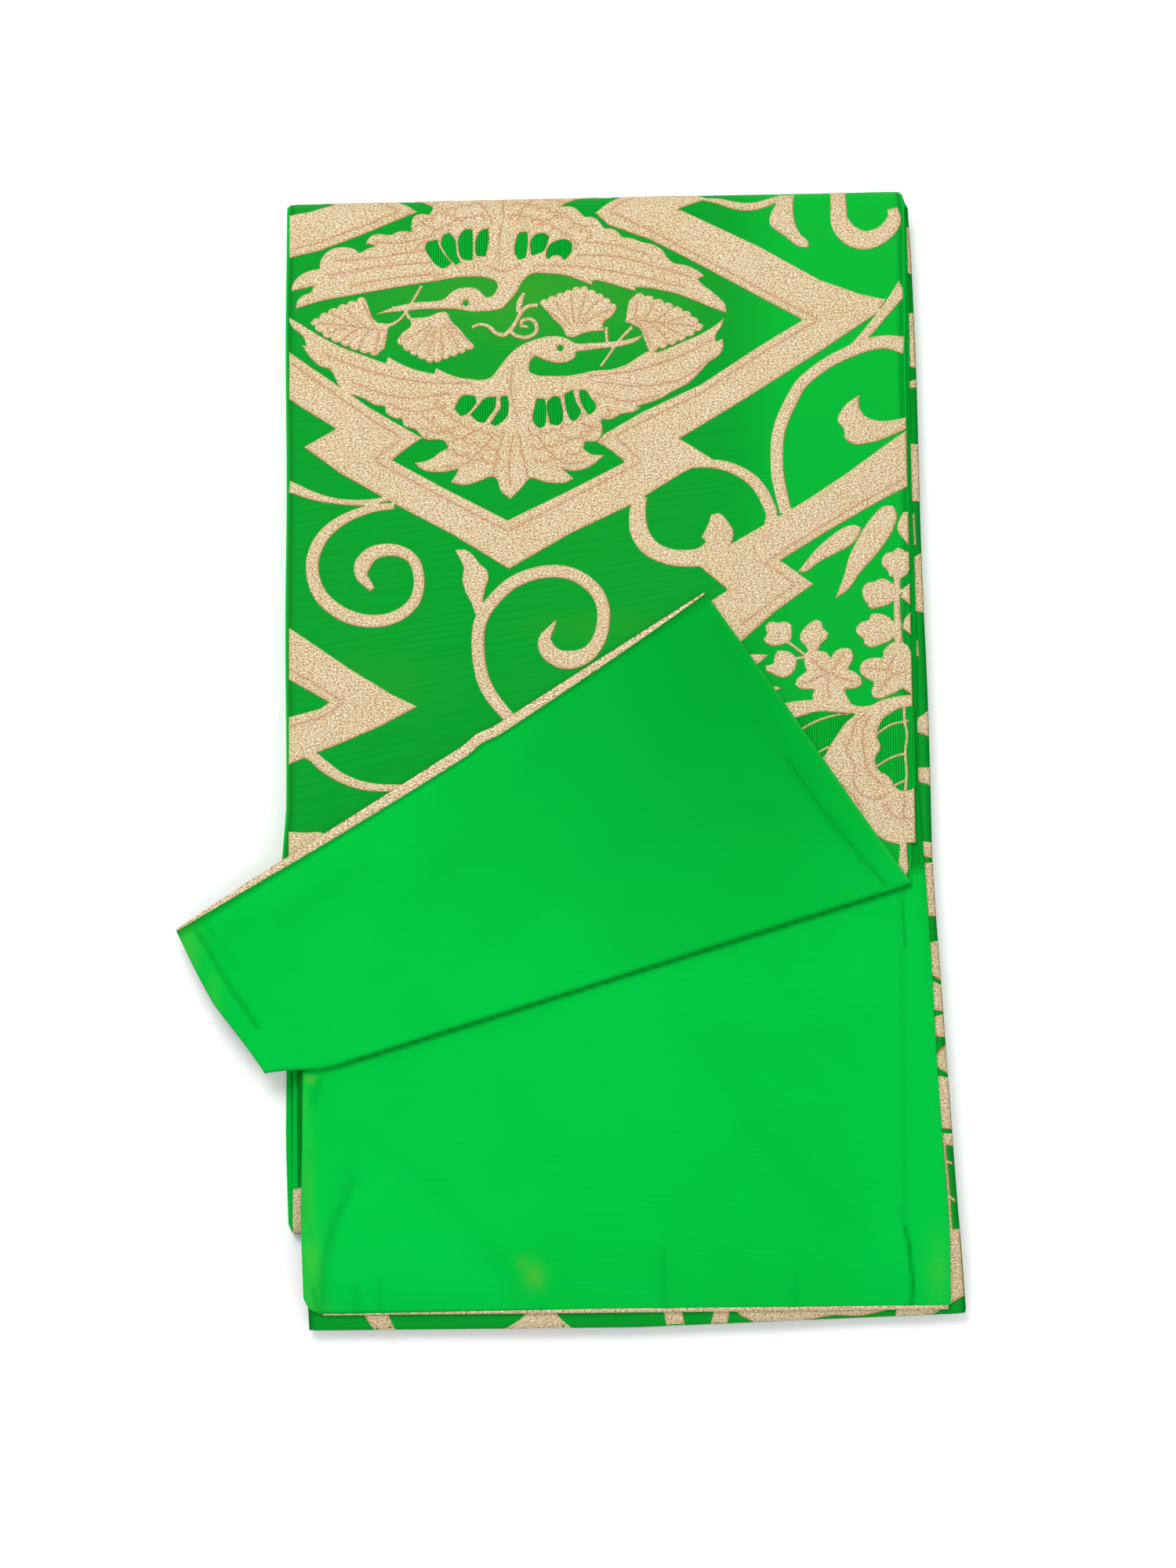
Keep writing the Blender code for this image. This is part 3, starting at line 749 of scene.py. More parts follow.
back_points = top_strip(BACK, -1, u_top, FLAP_ROWS, 22, 40)
flap = np.arange(len(back_points)) <= len(END_SHARES) + FLAP_ROWS
shaped, dark = creased(back_points[flap], FLAP_CREASES)
back_points[flap] = shaped
painted_shade_line = np.zeros(back_points.shape[:2])
painted_shade_line[flap] = dark
tint = np.zeros(back_points.shape[:2])
tint[flap] = patches(back_points[flap], FLAP_TINTS)
# painted shade: dark rows just below the gold band of the turned end
painted_shade_line[:3] = np.maximum(painted_shade_line[:3], np.array(END_SHADE)[:, None])
edge_tint = 0.5 * np.exp(-(((1 - u_top) * CLOTH_WIDTH / 0.9) ** 2)) * flap[:, None]
# painted shade: darker towards the upper right corner of the turned end
from_corner = np.hypot(back_points[..., 0] - SHADE_CORNER[0], back_points[..., 1] - SHADE_CORNER[1])
lining_top = sheet("back_top_cloth", back_points, u_top, BACK_SILK, values={
    "painted_shade_line": painted_shade_line, "tint": np.maximum(tint, edge_tint), "stain": np.zeros(painted_shade_line.shape),
    "painted_shade": 0.8 * smooth(1 - from_corner / SHADE_REACH)})
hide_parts("lining_top")

# %% [markdown]
# ## The panel below the turned end
# The second stretch shows its back silk, and ends in the open with a narrow woven edge of gold.
# Its own brocade lies under it. The seam allowance shows through as a crease near the right side.

# %% The panel and its own brocade
SHOWN_FROM_Y = -58.0
# painted shade: darker along the panel's lower end, below the turned end's right corner and in a strip
# beside the top stretch
PANEL_SHADE = [(0, -275, 200, 12, 0.14), (130, -80, 60, 60, 0.12), (180, -60, 9, 60, 0.45)]


def panel_band_width(u):
    """The woven gold edge: a thin line on the left that grows to twice that by the middle."""
    return 0.9 + 1.2 * smooth(np.asarray(u) / 0.5)


def panel_strip(kind, above, u, step):
    """The second stretch from the far fold to its woven edge."""
    last = PANEL_END_Y + panel_band_width(u)[None, :]
    return np.concatenate([
        run(2, above, kind, u, FAR_FOLD_Y - 0.3, SHOWN_FROM_Y, 14.0)[:-1],
        run(2, above, kind, u, SHOWN_FROM_Y, PANEL_END_Y + 3.0, step),
        run_at(2, above, kind, u, last),
    ])


# painted shadow: a dark line on the panel just past the fold of the turned end
fold_shadow_line = slanted_rows(BACK, -1, columns(12), [fold_line_y(ARC / 2)])[0][:, :2] + 0.9 * FOLD_OUT
PANEL_CREASES.append((fold_shadow_line, 1.1, -0.1, 0.68))
u_panel = columns(170)
panel_points, dark = creased(panel_strip(BACK, 1, u_panel, 1.9), PANEL_CREASES)
# painted shade: the right side of the panel where it runs in under the top stretch
side_shade = smooth((panel_points[..., 1] + 66) / 8) * smooth((u_panel - 0.96) / 0.02)
dark = np.maximum(dark, 0.72 * side_shade)
lining_panel = sheet("back_panel_cloth", panel_points, u_panel, BACK_SILK, start=600.0, values={
    "painted_shade_line": dark, "tint": patches(panel_points, PANEL_TINTS),
    "stain": patches(panel_points, PANEL_STAINS), "painted_shade": patches(panel_points, PANEL_SHADE)})
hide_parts("lining_panel")

u_under = columns(40)
panel_under = panel_strip(FRONT, -1, u_under, 6.0)
no_seam = {"seam": np.zeros(panel_under.shape[:2])}
brocade_panel = sheet("brocade_panel_cloth", panel_under, u_under, SATIN, values=no_seam)
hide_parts("brocade_panel")

# %% [markdown]
# ## The woven ends
# Both ends of the sash close in a band of gold weft. It is a soft rounded edge as thick as the
# ply: from above it runs flat, rounds the end in a half ellipse, and runs back flat below. That
# profile is carried across the sash, and is drawn together at both sides.

# %% A rounded band of gold
NOSE_ANGLES = np.linspace(np.pi / 2, -np.pi / 2, 11)


def end_profile(u, width):
    """Inset and height of the band's section for each column: flat, half an ellipse, flat."""
    height = cloth_offset(1, u) + SHELL / 2
    nose = np.minimum(height, 0.85 * width)
    flat = np.linspace(1.0, 0.0, 4)[:-1, None] * (width - nose) + nose
    inset = np.concatenate([flat, nose * (1 - np.cos(NOSE_ANGLES))[:, None], flat[::-1]])
    rise = np.concatenate([np.ones((3, 1)), np.sin(NOSE_ANGLES)[:, None], -np.ones((3, 1))]) * height
    return inset, rise


def closed_band(name, points, node):
    """A tube from sections (one row for each point of the profile), with its two ends drawn to a point."""
    middle = points.mean(axis=0)
    points = np.concatenate([np.broadcast_to(middle[:1], (len(points), 1, 3)), points,
                             np.broadcast_to(middle[-1:], (len(points), 1, 3))], axis=1)
    rows, count = points.shape[:2]
    index = np.arange(rows * count).reshape(rows, count)
    index = np.concatenate([index, index[:1]])
    faces = np.stack((index[:-1, :-1], index[:-1, 1:], index[1:, 1:], index[1:, :-1]), axis=-1)
    flat = points.reshape(-1, 3)
    uv = np.stack([flat[:, 0], flat[:, 1] + flat[:, 2]], axis=-1) * MM
    made = mesh_of(name, flat, faces.reshape(-1, 4), uv, GOLD_END)
    tidy_closed(made)
    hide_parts(node)
    return made


def tidy_closed(made):
    """Merges doubled points and turns all faces of a closed piece outwards."""
    shape = bmesh.new()
    shape.from_mesh(made.data)
    bmesh.ops.remove_doubles(shape, verts=shape.verts, dist=0.00001)
    bmesh.ops.recalc_face_normals(shape, faces=shape.faces)
    shape.to_mesh(made.data)
    shape.free()


u_band = np.linspace(0.0, 1.0, 160)
inset, rise = end_profile(u_band, band_width(u_band))
left = side_x(1, 0, END_LEFT_Y + inset) + 0.3
right = side_x(1, 1, END_RIGHT_Y + inset) - 0.3
band_y = END_LEFT_Y + inset + u_band * (END_RIGHT_Y - END_LEFT_Y) - pucker(u_band)
flat_places = np.stack([left + u_band * (right - left), band_y], axis=-1)
end_top = closed_band("gold_end_top", turned(u_band, flat_places, -rise), "end_band_top")

inset, rise = end_profile(u_band, panel_band_width(u_band))
band_y = PANEL_END_Y + inset
band_points = settled(2, u_band, across(2, u_band, band_y, FRONT), band_y, level(2) + rise)
end_panel = closed_band("gold_end_panel", band_points, "end_band_panel")
print("gold ends:", len(end_top.data.vertices), "and", len(end_panel.data.vertices), "points")

# %% [markdown]
# ## The stretches below
# The third and fourth stretches show as a margin on the right, as the rounded fold along the near
# side and as edges. The lower pack shows its edges on all sides. Two strips make up the hidden
# layers: they run up and down through the stack and turn at the folds, as the cloth really does.

# %% The third stretch, the underside and the hidden strips
NEAR, FAR = LOWER_NEAR_FOLD_Y, FAR_FOLD_Y
UPPER = UPPER_NEAR_FOLD_Y
HIDDEN_STEP = 9.0
AT_FAR = np.array([[FAR]])
SEAM_SHADE_WIDTH = 1.2


def seam_shade(points, u):
    """Painted shade along both seams: a bell curve of the distance from the side."""
    from_seam = np.minimum(u, 1 - u) * CLOTH_WIDTH
    return {"seam": np.broadcast_to(np.exp(-((from_seam / SEAM_SHADE_WIDTH) ** 2)), points.shape[:2])}


u_hidden = columns(48)
third_points = np.concatenate([
    run(3, 1, FRONT, u_hidden, FAR - 0.3, -225.0, 5.0)[:-1],
    run(3, 1, FRONT, u_hidden, -225.0, UPPER, 2.5),
    turn(3, 4, -1, 1, FRONT, u_hidden, steps=14),
    run(4, -1, FRONT, u_hidden, UPPER, FAR - 0.3, 6.0),
])
brocade_third = sheet("brocade_third_cloth", third_points, u_hidden, SATIN,
                      values=seam_shade(third_points, u_hidden))
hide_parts("brocade_third")

under_points = np.concatenate([
    run(5, 1, FRONT, u_hidden, FAR - 0.3, NEAR, 6.0),
    turn(5, 8, -1, 1, FRONT, u_hidden, steps=18),
    run(8, -1, FRONT, u_hidden, NEAR, FAR - 0.3, 6.0),
])
brocade_underside = sheet("brocade_underside_cloth", under_points, u_hidden, SATIN,
                          values=seam_shade(under_points, u_hidden))
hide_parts("brocade_underside")

inner_back_points = np.concatenate([
    run(8, 1, BACK, u_hidden, FAR - 0.3, NEAR, HIDDEN_STEP),
    turn(5, 8, -1, -1, BACK, u_hidden, downwards=False),
    run(5, -1, BACK, u_hidden, NEAR, FAR, HIDDEN_STEP),
    turn(4, 5, 1, 1, BACK, u_hidden, downwards=False),
    run(4, 1, BACK, u_hidden, FAR, UPPER, HIDDEN_STEP),
    turn(3, 4, -1, -1, BACK, u_hidden, downwards=False),
    run(3, -1, BACK, u_hidden, UPPER, FAR, HIDDEN_STEP),
    turn(3, 6, 1, -1, BACK, u_hidden),
    run(6, 1, BACK, u_hidden, FAR, NEAR, HIDDEN_STEP),
    turn(6, 7, -1, 1, BACK, u_hidden),
    run(7, -1, BACK, u_hidden, NEAR, FAR, HIDDEN_STEP),
    turn(2, 7, 1, 1, BACK, u_hidden, downwards=False),
    run_at(2, 1, BACK, u_hidden, AT_FAR),
])
nothing = np.zeros(inner_back_points.shape[:2])
inner_back = sheet("inner_back_cloth", inner_back_points, u_hidden, BACK_SILK,
                   values={"painted_shade_line": nothing, "tint": nothing, "stain": nothing, "painted_shade": nothing})
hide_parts("inner_layers")

inner_front_points = np.concatenate([
    run_at(3, 1, FRONT, u_hidden, AT_FAR),
    turn(3, 6, 1, 1, FRONT, u_hidden),
    run(6, -1, FRONT, u_hidden, FAR, NEAR, HIDDEN_STEP),
    turn(6, 7, -1, -1, FRONT, u_hidden),
    run(7, 1, FRONT, u_hidden, NEAR, FAR, HIDDEN_STEP),
    turn(2, 7, 1, -1, FRONT, u_hidden, downwards=False),
    run_at(2, -1, FRONT, u_hidden, AT_FAR),
])
inner_front = sheet("inner_brocade_cloth", inner_front_points, u_hidden, SATIN,
                    values=seam_shade(inner_front_points, u_hidden))
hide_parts("inner_layers")

# %% [markdown]
# ## Drawing with outlines
# The motifs are woven in gold on the green ground. They could be painted with an image, but an
# outline gives a crisp edge at any distance and a real relief. Each motif is a closed line of a
# few points in millimetres of cloth. Curved motifs get a smooth curve through their points,
# bands keep straight sides, and stems are a centre line with a width at each point.

# %% Curves through points
STITCH = 1.1
CORNER_DEGREES = 62.0
LOZENGE_MIDDLE = (-26.5, 212.75)


def curve(points, closed=True, step=STITCH):
    """A smooth curve through the points. Each piece is the cubic that has the slope of the points
    about it at both ends; where the line turns sharply the slope is the piece's own, so tips stay."""
    points = np.asarray(points, float)
    ring = np.concatenate([points[-1:], points, points[:2]]) if closed else np.concatenate([
        2 * points[:1] - points[1:2], points, 2 * points[-1:] - points[-2:-1]])
    chord = np.diff(ring, axis=0)
    length = np.maximum(np.linalg.norm(chord, axis=1), 1e-6)[:, None]
    slope = chord / length
    before, after = length[:-1], length[1:]
    shared = (slope[:-1] * after + slope[1:] * before) / (before + after)
    sharp = (slope[:-1] * slope[1:]).sum(axis=1) < math.cos(math.radians(CORNER_DEGREES))
    slope_in = np.where(sharp[:, None], slope[:-1], shared)
    slope_out = np.where(sharp[:, None], slope[1:], shared)
    pieces = []
    for piece in range(len(points) if closed else len(points) - 1):
        span = length[piece + 1, 0]
        t = np.linspace(0.0, 1.0, max(2, math.ceil(span / step) + 1))[:-1, None]
        ends = ring[piece + 1], ring[piece + 2]
        leaving, arriving = slope_out[piece] * span, slope_in[piece + 1] * span
        pieces.append(ends[0] * (2 * t**3 - 3 * t**2 + 1) + leaving * (t**3 - 2 * t**2 + t)
                      + ends[1] * (3 * t**2 - 2 * t**3) + arriving * (t**3 - t**2))
    if not closed:
        pieces.append(points[-1:])
    return np.concatenate(pieces)


def straight(points, closed=True):
    """Straight sides between the points, stepped by a hair as the weft makes them."""
    points = np.asarray(points, float)
    ends = np.roll(points, -1, axis=0) if closed else points[1:]
    pieces = []
    for first, last in zip(points, ends):
        count = max(1, math.ceil(np.linalg.norm(last - first) / STITCH))
        share = np.arange(count)[:, None] / count
        pieces.append(first + share * (last - first))
    if not closed:
        pieces.append(points[-1:])
    line = np.concatenate(pieces)
    line[:, 0] += 0.22 * ((line[:, 1] / 0.9) % 1.0 - 0.5)
    return line


def stem(points, widths):
    """A ribbon along a smooth centre line, half its width to each side, with widths spread evenly."""
    middle = curve(points, closed=False)
    along_line = np.linspace(0.0, 1.0, len(middle))
    width = np.interp(along_line, np.linspace(0.0, 1.0, len(widths)), widths)[:, None]
    slope = np.gradient(middle, axis=0)
    slope /= np.linalg.norm(slope, axis=1)[:, None]
    normal = np.stack([-slope[:, 1], slope[:, 0]], axis=-1)
    return np.concatenate([middle + normal * width / 2, (middle - normal * width / 2)[::-1]])


def scalloped(far_side, near_side, lobes, depth):
    """A leaf: its far side swells out in round lobes, by the root of a sine along it, and the near
    side is smooth."""
    edge = curve(far_side, closed=False, step=0.45)
    along_edge = np.linspace(0.0, 1.0, len(edge))[:, None]
    slope = np.gradient(edge, axis=0)
    slope /= np.linalg.norm(slope, axis=1)[:, None]
    normal = np.stack([slope[:, 1], -slope[:, 0]], axis=-1)
    middle = np.mean([edge.min(axis=0), edge.max(axis=0)], axis=0)
    normal *= np.sign(((edge - middle) * normal).sum())
    lobed = edge + depth * np.sqrt(np.abs(np.sin(np.pi * lobes * along_edge))) * normal
    return np.concatenate([lobed, curve(near_side, closed=False)])


def turned_about(points):
    """The same shape half a turn round the middle of the big lozenge."""
    return np.array([2 * LOZENGE_MIDDLE[0], 2 * LOZENGE_MIDDLE[1]]) - np.asarray(points, float)


def round_spot(x, y, radius):
    """A spot that isn't quite round: a circle whose radius swells five times on its way about."""
    angle = np.linspace(0.0, 2 * np.pi, max(16, int(6 * radius)), endpoint=False)
    reach = radius * (1 + 0.10 * np.cos(5 * angle + 0.3))
    return np.stack([x + reach * np.cos(angle), y + reach * np.sin(angle)], axis=-1)


print("a spot of radius 6.5 takes", len(round_spot(0, 0, 6.5)), "points")

# %% [markdown]
# ## From outlines to a raised mesh
# All outlines of one sheet are triangulated together, with points spread evenly inside them. A
# triangle belongs to the gold if its middle is inside an outline and not in a hole. The height
# of a point rises from the rim over its first millimetre, so the gold is a low cushion, and a
# skirt round every rim runs down into the ground. Attributes carry where the rim is and which
# way it faces, for a painted shade on rims that face the lower right, away from the light, and a
# painted highlight on those that face the upper left, towards it.

# %% Inside, nearest and triangulated
def inside(points, loop):
    """Even and odd: a place is inside if a line from it crosses the loop an odd number of times."""
    low, high = loop.min(axis=0), loop.max(axis=0)
    found = np.zeros(len(points), bool)
    near = np.flatnonzero(((points >= low) & (points <= high)).all(axis=1))
    ends = np.roll(loop, -1, axis=0)
    rise = ends[:, 1] - loop[:, 1]
    run_share = (ends[:, 0] - loop[:, 0]) / np.where(rise == 0, 1.0, rise)
    for part in np.array_split(near, len(near) // 4000 + 1):
        x, y = points[part, 0, None], points[part, 1, None]
        crossed = (loop[:, 1] > y) != (ends[:, 1] > y)
        found[part] = (crossed & (x < loop[:, 0] + (y - loop[:, 1]) * run_share)).sum(axis=1) % 2 == 1
    return found


def in_any(points, loops):
    found = np.zeros(len(points), bool)
    for loop in loops:
        found |= inside(points, loop)
    return found


SEARCH_REACH, SEARCH_BAND = 3.0, 8.0


def nearest(points, targets):
    """Distance and number of the nearest target, looked for in bands of y, or the reach if none is near."""
    distance = np.full(len(points), SEARCH_REACH)
    number = np.zeros(len(points), int)
    if len(targets) == 0:
        return distance, number
    band = np.floor(points[:, 1] / SEARCH_BAND).astype(int)
    for key in np.unique(band):
        own = np.flatnonzero(band == key)
        from_band = np.abs(targets[:, 1] - (key + 0.5) * SEARCH_BAND)
        there = np.flatnonzero(from_band < SEARCH_BAND / 2 + SEARCH_REACH)
        if len(there) == 0:
            continue
        apart = np.hypot(points[own, 0, None] - targets[there, 0], points[own, 1, None] - targets[there, 1])
        best = apart.argmin(axis=1)
        least = apart[np.arange(len(own)), best]
        closer = least < SEARCH_REACH
        distance[own[closer]] = least[closer]
        number[own] = there[best]
    return distance, number


def rim_of(gold, holes):
    """Places and outward normals of the outline as it shows: outlines inside other gold are left out."""
    places, normals = [], []
    for number, loop in enumerate(gold + holes):
        slope = np.roll(loop, -1, axis=0) - np.roll(loop, 1, axis=0)
        normal = np.stack([slope[:, 1], -slope[:, 0]], axis=-1)
        normal /= np.maximum(np.linalg.norm(normal, axis=1), 1e-9)[:, None]
        following = np.roll(loop, -1, axis=0)
        turned_left = (loop[:, 0] * following[:, 1] - following[:, 0] * loop[:, 1]).sum() > 0
        if number < len(gold):
            shown = ~in_any(loop, gold[:number] + gold[number + 1:]) & ~in_any(loop, holes)
        else:
            shown = in_any(loop, gold)
        outwards = turned_left == (number < len(gold))
        places.append(loop[shown])
        normals.append((normal if outwards else -normal)[shown])
    return np.concatenate(places), np.concatenate(normals)


def field_points(gold, holes, rim, avoid, spacing):
    """A hexagonal net of points in the gold, clear of its rims and of the drawn lines."""
    every = np.concatenate(gold)
    low, high = every.min(axis=0), every.max(axis=0)
    y, x = np.mgrid[low[1]:high[1]:spacing * 0.866, low[0]:high[0]:spacing]
    x = x + spacing / 2 * (np.arange(len(x)) % 2)[:, None]
    net = np.stack([x.ravel(), y.ravel()], axis=-1)
    net = net[nearest(net, rim)[0] > 0.95]
    net = net[nearest(net, avoid)[0] > 0.8] if len(avoid) else net
    return net[in_any(net, gold) & ~in_any(net, holes)]


def side_points(line, away):
    """Points on both sides of a line, this far away from it."""
    slope = np.gradient(line, axis=0)
    normal = np.stack([-slope[:, 1], slope[:, 0]], axis=-1)
    normal /= np.maximum(np.linalg.norm(normal, axis=1), 1e-9)[:, None]
    return np.concatenate([line + away * normal, line - away * normal])


RIM_WIDTH = 0.55
LINE_WIDTH = 0.5


def woven_figure(name, gold, holes, lines, place, finish, slot, relief=0.2, spacing=1.9):
    """Triangulates the outlines and puts each point on its sheet with place(x, y, height)."""
    rim, outward = rim_of(gold, holes)
    drawn = np.concatenate(lines) if lines else np.zeros((0, 2))
    ring = rim - RIM_WIDTH * outward
    ring = ring[nearest(ring, rim)[0] > 0.8 * RIM_WIDTH]
    groove = np.concatenate([side_points(line, LINE_WIDTH) for line in lines]) if lines else drawn
    extra = np.concatenate([drawn, groove])
    extra = extra[nearest(extra, rim)[0] > 0.5]
    ring = ring[nearest(ring, drawn)[0] > 0.45]
    net = field_points(gold, holes, rim, extra, spacing)
    free = np.concatenate([ring, extra, net])
    free = free[in_any(free, gold) & ~in_any(free, holes)]
    loops = gold + holes
    starts = np.cumsum([0] + [len(loop) for loop in loops])
    edges = np.concatenate([np.stack([np.arange(a, b), np.r_[np.arange(a + 1, b), a]], axis=-1)
                            for a, b in zip(starts[:-1], starts[1:])])
    every = np.concatenate(loops + [free])
    found = geometry.delaunay_2d_cdt([Vector(p) for p in every], edges.tolist(), [], 0, 1e-4)
    flat = np.array([tuple(p) for p in found[0]])
    faces = np.array(found[2])
    centres = flat[faces].mean(axis=1)
    faces = faces[in_any(centres, gold) & ~in_any(centres, holes)]
    used, faces = np.unique(faces, return_inverse=True)
    flat, faces = flat[used], faces.reshape(-1, 3)
    area = np.cross(flat[faces[:, 1]] - flat[faces[:, 0]], flat[faces[:, 2]] - flat[faces[:, 0]])
    faces = np.where((area < 0)[:, None], faces[:, ::-1], faces)
    return raised(name, flat, faces, (rim, outward, drawn), place, finish, slot, relief)


def raised(name, flat, faces, marks, place, finish, slot, relief):
    """Gives the triangles their height and skirt, and the attributes that the gold reads."""
    rim, outward, drawn = marks
    away, number = nearest(flat, rim)
    to_line = nearest(flat, drawn)[0]
    share = np.clip(1.3 - away / RIM_WIDTH, 0.0, 1.0)
    # how far each rim faces the lower right, away from the light
    away_from_light = outward[number] @ np.array([0.50, -0.87])
    line = np.clip(1.3 - 2.2 * to_line, 0.0, 1.0)
    height = 0.06 + relief * smooth(away / 1.0) - 0.12 * line * (away > 0.4)
    sides = np.concatenate([faces[:, [0, 1]], faces[:, [1, 2]], faces[:, [2, 0]]])
    key = np.sort(sides, axis=1) @ np.array([len(flat), 1])
    _, first, count = np.unique(key, return_index=True, return_counts=True)
    edge = sides[first[count == 1]]
    corners, local = np.unique(edge, return_inverse=True)
    local = local.reshape(-1, 2) + len(flat)
    skirt = np.concatenate([np.stack([edge[:, 1], edge[:, 0], local[:, 0]], axis=-1),
                            np.stack([edge[:, 1], local[:, 0], local[:, 1]], axis=-1)])
    both = np.concatenate([flat, flat[corners]])
    points = place(both[:, 0], both[:, 1], np.concatenate([height, np.full(len(corners), -0.15)]))
    doubled = np.concatenate([np.arange(len(flat)), corners])
    values = {"russet": (share * smooth((away_from_light + 0.25) / 0.7))[doubled],
              "pale": (share * smooth((-away_from_light - 0.15) / 0.7))[doubled] * 0.7, "line": line[doubled]}
    made = mesh_of(name, points, np.concatenate([faces, skirt]), both * MM, finish, values)
    print(name, "has", len(faces) + len(skirt), "triangles and", len(rim), "points of rim")
    return made


# %% Places on the outside of a fold
def round_fold(upper, lower, end, x, y, height):
    """A place on the outer face of a stretch and of the fold at its end. Past the start of the fold
    y is a length of arc: y becomes the start plus radius times the sine of the angle."""
    u = np.clip((x - side_x(upper, 0, fold_y(upper, end))) / CLOTH_WIDTH, 0.0, 1.0)
    start = fold_y(upper, end) + (FAR_SLANT * x if end > 0 else 0.0)
    if upper == 3:
        start = start + NEAR_SLANT * np.maximum(2 * u - 1, 0.0)
    radius = (level(upper) - level(lower)) / 2 + FIELD_OFFSET + SHELL / 2
    past = np.maximum(end * (y - start), 0.0)
    angle = np.minimum(past / radius, np.pi)
    edge = np.minimum(x - side_x(upper, 0, y), side_x(upper, 1, y) - x) - roll(upper, FRONT, y)
    sunk = (FIELD_OFFSET - SEAM_OFFSET) * (1 - smooth(edge / SEAM_REACH))
    reach = radius + height - sunk
    out = start + end * (reach * np.sin(angle) - (past - radius * angle))
    placed_y = np.where(past > 0, out, y)
    z = (level(upper) + level(lower)) / 2 + reach * np.cos(angle)
    z = z + swell(x, placed_y) * np.clip(z / STACK_TOP, 0.0, 1.2)
    z = z - (droop(placed_y) if upper in (2, 3, 4) else 0.0)
    return np.stack(np.broadcast_arrays(x, placed_y, z), axis=-1)


def on_top(x, y, height):
    return round_fold(1, 8, 1, x, y, height)


def on_third(x, y, height):
    return round_fold(3, 4, -1, x, y, height)


def on_lower(x, y, height):
    return round_fold(5, 8, -1, x, y, height)


print("the far roll is", round(math.pi * ((level(1) - level(8)) / 2 + 1.1), 1), "mm round its back")

# %% [markdown]
# ## The lozenges
# The main motif is a pine-bark lozenge: a broad gold band whose sides step in and out once. It
# runs off the left side and over the far roll. Its lower right neighbour and a third one on the
# left are cut by the sides of the cloth. A fine double line follows the inner side of each band.

# %% Bands of the lozenges
LEFT_X, RIGHT_X = -135.3, 171.6
LOZENGE = straight([
    (-9, 301), (-3, 299), (17, 289), (31, 280.5), (18, 269.5), (25, 263), (45, 255.5), (65, 245), (90, 231),
    (121, 213.5), (100, 201), (70, 181.5), (40, 167.5), (21, 156.5), (18, 152.5), (25, 148), (31.5, 142.5),
    (5, 129), (-27, 113.5), (-60, 131), (-84, 144.5), (-77, 150), (-69, 155.5), (-95, 171), (LEFT_X, 200),
    (LEFT_X, 176), (-130, 172), (-112, 160.5), (-128, 151.5), (-110, 138), (-79, 120), (-55, 107),
    (-26.5, 89), (5, 107), (34, 120.5), (60, 136.5), (75, 143.5), (59, 154), (90, 172.5), (130, 197.5),
    (158.5, 216.5), (163, 223.5), (150, 226.5), (130, 234), (100, 251.5), (60, 271), (75, 277), (67, 283),
    (47, 295), (37, 301),
])
LOZENGE_LEFT = straight([
    (LEFT_X, 248), (-120, 251.5), (-100, 259), (-71, 271), (-84, 281.5), (-78, 285), (-58, 295.5),
    (-47, 301), (-101, 301), (-119, 292), (-128, 287), (-118, 281), (-113, 277), (-125, 272), (LEFT_X, 270),
])
LOWER_LOZENGE = straight([
    (RIGHT_X, 157), (160, 149), (140, 134.5), (120, 121.5), (100, 110), (85, 101.5), (67, 90), (81.5, 77.5),
    (73, 72), (86, 50), (105, 66.5), (124, 80), (108, 92), (130, 105.5), (150, 117), (160, 122.5),
    (RIGHT_X, 128.5),
])
LEFT_LOZENGE = straight([
    (LEFT_X, 61), (-125, 54), (-105, 40), (-85, 27.5), (-72, 21), (-90, 11.5), (-110, 3), (LEFT_X, -7),
    (LEFT_X, 16.5), (-120, 20.5), (-115.5, 23.5), (LEFT_X, 35),
])
BANDS = [LOZENGE, LOZENGE_LEFT, LOWER_LOZENGE, LEFT_LOZENGE]
BAND_LINES = [straight(points, closed=False) for points in (
    [(-134, 252.5), (-120, 256), (-100, 263.5), (-80, 271.5), (-93, 281), (-60, 299)],
    [(28, 300), (45, 289), (39, 281), (25, 270.5), (46, 260), (90, 235.5), (129, 213.5), (100, 196.5),
     (70, 177), (40, 162.5), (27, 155.5), (40, 142.5), (5, 124.5), (-27, 108), (-60, 126), (-93, 144.5),
     (-79, 155.5), (-95, 165.5), (-134, 194)],
    [(170, 132.5), (150, 121.5), (118, 102.5), (100, 91), (115, 80), (88, 60)],
    [(-134, 40), (-108, 23.5), (-120, 16), (-134, 12)],
)]
print(len(BANDS), "bands,", sum(map(len, BANDS)), "points")

# %% [markdown]
# ## Arabesque
# Between the lozenges run tendrils: spirals that thicken towards a comma-shaped end, and leaves.
# Each is a stem with its widths, or a closed curve where the shape is fuller than a stem.

